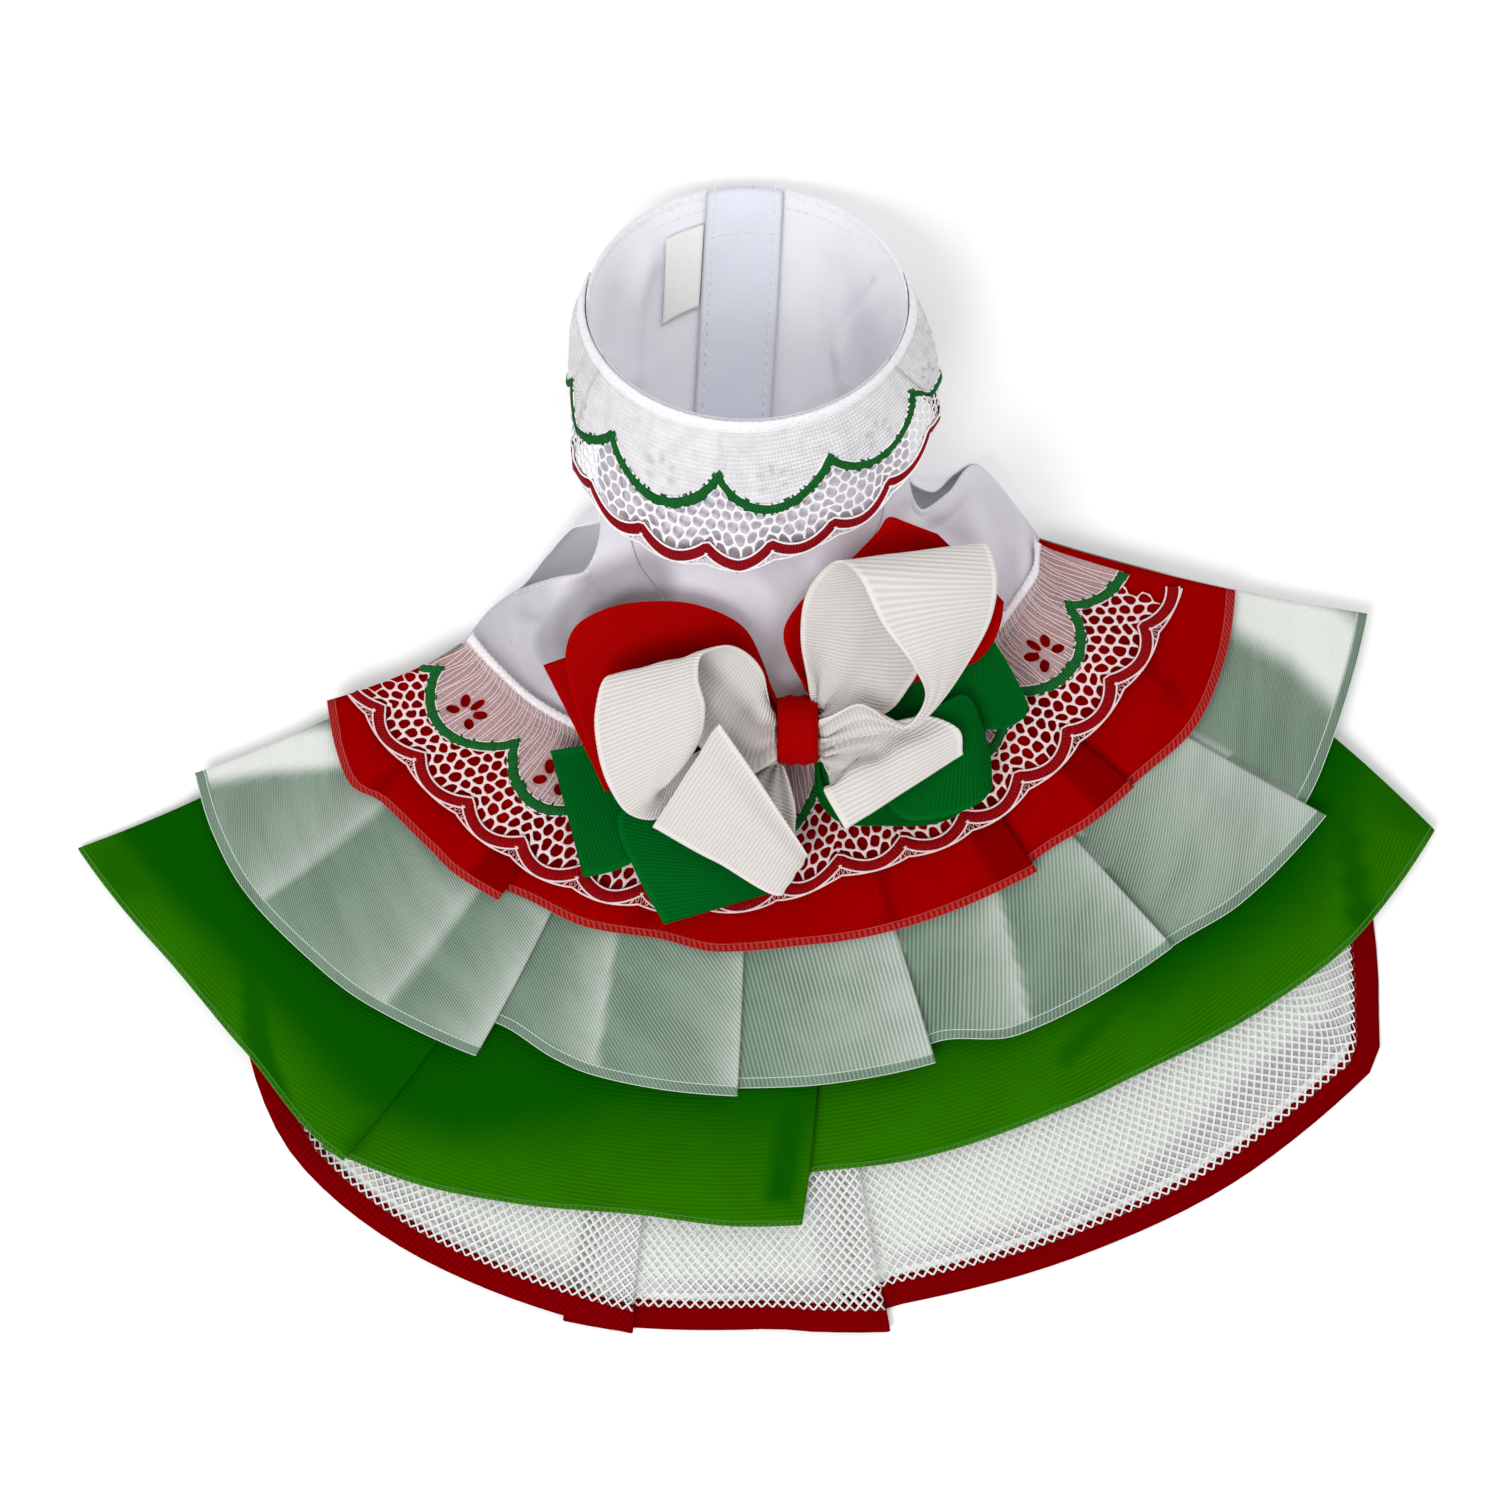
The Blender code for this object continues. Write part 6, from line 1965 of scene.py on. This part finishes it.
def make_stage():
    scene = bpy.context.scene
    bpy.ops.mesh.primitive_plane_add(size=4)
    floor = bpy.context.object
    floor.name = "table"
    floor.data.materials.append(start_look("matt_white_table", linear("#FFFFFF"), 0.9)[0])
    world = bpy.data.worlds.new("soft studio")
    scene.world = world
    world.use_nodes = True
    sky = world.node_tree.nodes["Background"]
    sky.inputs["Color"].default_value = (1, 1, 1, 1)
    sky.inputs["Strength"].default_value = SKY_STRENGTH
    scene.view_settings.view_transform = "Standard"
    for name, place, size, power in LAMPS:
        lamp = bpy.data.lights.new(name, "AREA")
        lamp.size = size
        lamp.energy = power
        holder = bpy.data.objects.new(name, lamp)
        scene.collection.objects.link(holder)
        x, y, z = place
        holder.location = place
        holder.rotation_euler = (math.acos(z / math.hypot(x, y, z)), 0, math.atan2(-y, -x) - math.pi / 2)
    camera = bpy.data.cameras.new("camera over the table")
    camera.sensor_width = 36
    camera.lens = 36 * CAMERA_HEIGHT / FRAME_WIDTH
    camera.clip_end = 10
    holder = bpy.data.objects.new("camera over the table", camera)
    holder.location = (ROW_SHIFT[0] * MM, ROW_SHIFT[1] * MM, CAMERA_HEIGHT)
    scene.collection.objects.link(holder)
    scene.camera = holder


THREADS = {}


def threads():
    """The node trees for stitches and cords, made once."""
    if not THREADS:
        white = thread_look("sewing_thread_white", linear("#F4F3F6"))
        dark = thread_look("sewing_thread_dark_red", linear("#7A0008"))
        lace = thread_look("lace_cord_white", linear("#F6F3F6"))
        pink = thread_look("lace_cord_over_red", linear("#E9CFD0"))
        THREADS.update({"white": stitch_tree(white), "binding": stitch_tree(dark), "lace": cord_tree(lace)})
        THREADS["lace over red"] = cord_tree(pink)
    return THREADS


class DRESS_OT_petticoat(bpy.types.Operator):
    """Make the petticoat's tulle, its diamond net and its binding"""

    bl_idname = "dress.petticoat"
    bl_label = "Petticoat"

    def execute(self, context):
        make_petticoat(context.scene.dress_colours, context.scene.dress_sizes, threads())
        return {"FINISHED"}


class DRESS_OT_ruffles(bpy.types.Operator):
    """Make the three organza ruffles"""

    bl_idname = "dress.ruffles"
    bl_label = "Ruffles"

    def execute(self, context):
        for layer in RUFFLES:
            make_ruffle(layer, context.scene.dress_colours, context.scene.dress_sizes)
        return {"FINISHED"}


class DRESS_OT_bodice(bpy.types.Operator):
    """Make the poplin panels, the placket and the blank label, with their stitches"""

    bl_idname = "dress.bodice"
    bl_label = "Bodice"

    def execute(self, context):
        make_bodice(context.scene.dress_colours, context.scene.dress_sizes, threads())
        make_placket(context.scene.dress_sizes, threads())
        return {"FINISHED"}


class DRESS_OT_lace(bpy.types.Operator):
    """Make the lace round the neck and on the skirt"""

    bl_idname = "dress.lace"
    bl_label = "Lace"

    def execute(self, context):
        colours, sizes = context.scene.dress_colours, context.scene.dress_sizes
        neck, rim = neck_drape(), neck_rim()
        make_lace("neck_lace", neck, [rim], NECK_RUN, colours, sizes, threads(), 0.93, colours.red_satin)
        waist = waist_drape()
        make_lace("waist_lace", waist, [], WAIST_RUN, colours, sizes, threads(), 0.36, linear("#A30009"))
        return {"FINISHED"}


class DRESS_OT_bow(bpy.types.Operator):
    """Make the grosgrain bow and its knot"""

    bl_idname = "dress.bow"
    bl_label = "Bow"

    def execute(self, context):
        make_bow(context.scene.dress_colours, context.scene.dress_sizes)
        return {"FINISHED"}


class DRESS_OT_stage(bpy.types.Operator):
    """Make the table, the lights and the camera"""

    bl_idname = "dress.stage"
    bl_label = "Table, lights and camera"

    def execute(self, context):
        make_stage()
        return {"FINISHED"}


OPERATORS = (
    DRESS_OT_petticoat,
    DRESS_OT_ruffles,
    DRESS_OT_bodice,
    DRESS_OT_lace,
    DRESS_OT_bow,
    DRESS_OT_stage,
)


class DRESS_PT_panel(bpy.types.Panel):
    """Colours, sizes and pieces of the dress"""

    bl_idname = "DRESS_PT_panel"
    bl_label = "China poblana dog dress"
    bl_space_type = "VIEW_3D"
    bl_region_type = "UI"
    bl_category = "Dress"

    def draw(self, context):
        layout = self.layout
        for group in (context.scene.dress_colours, context.scene.dress_sizes):
            box = layout.box()
            for name in group.bl_rna.properties.keys():
                if name not in ("rna_type", "name"):
                    box.prop(group, name)
        for operator in OPERATORS:
            layout.operator(operator.bl_idname)


CLASSES = (FabricColours, FabricSizes, *OPERATORS, DRESS_PT_panel)


def register():
    for item in CLASSES:
        bpy.utils.register_class(item)
    bpy.types.Scene.dress_colours = bpy.props.PointerProperty(type=FabricColours)
    bpy.types.Scene.dress_sizes = bpy.props.PointerProperty(type=FabricSizes)


def unregister():
    del bpy.types.Scene.dress_sizes
    del bpy.types.Scene.dress_colours
    for item in reversed(CLASSES):
        bpy.utils.unregister_class(item)


def main():
    register()
    for operator in OPERATORS:
        group, name = operator.bl_idname.split(".")
        getattr(getattr(bpy.ops, group), name)()


if __name__ == "__main__":
    main()
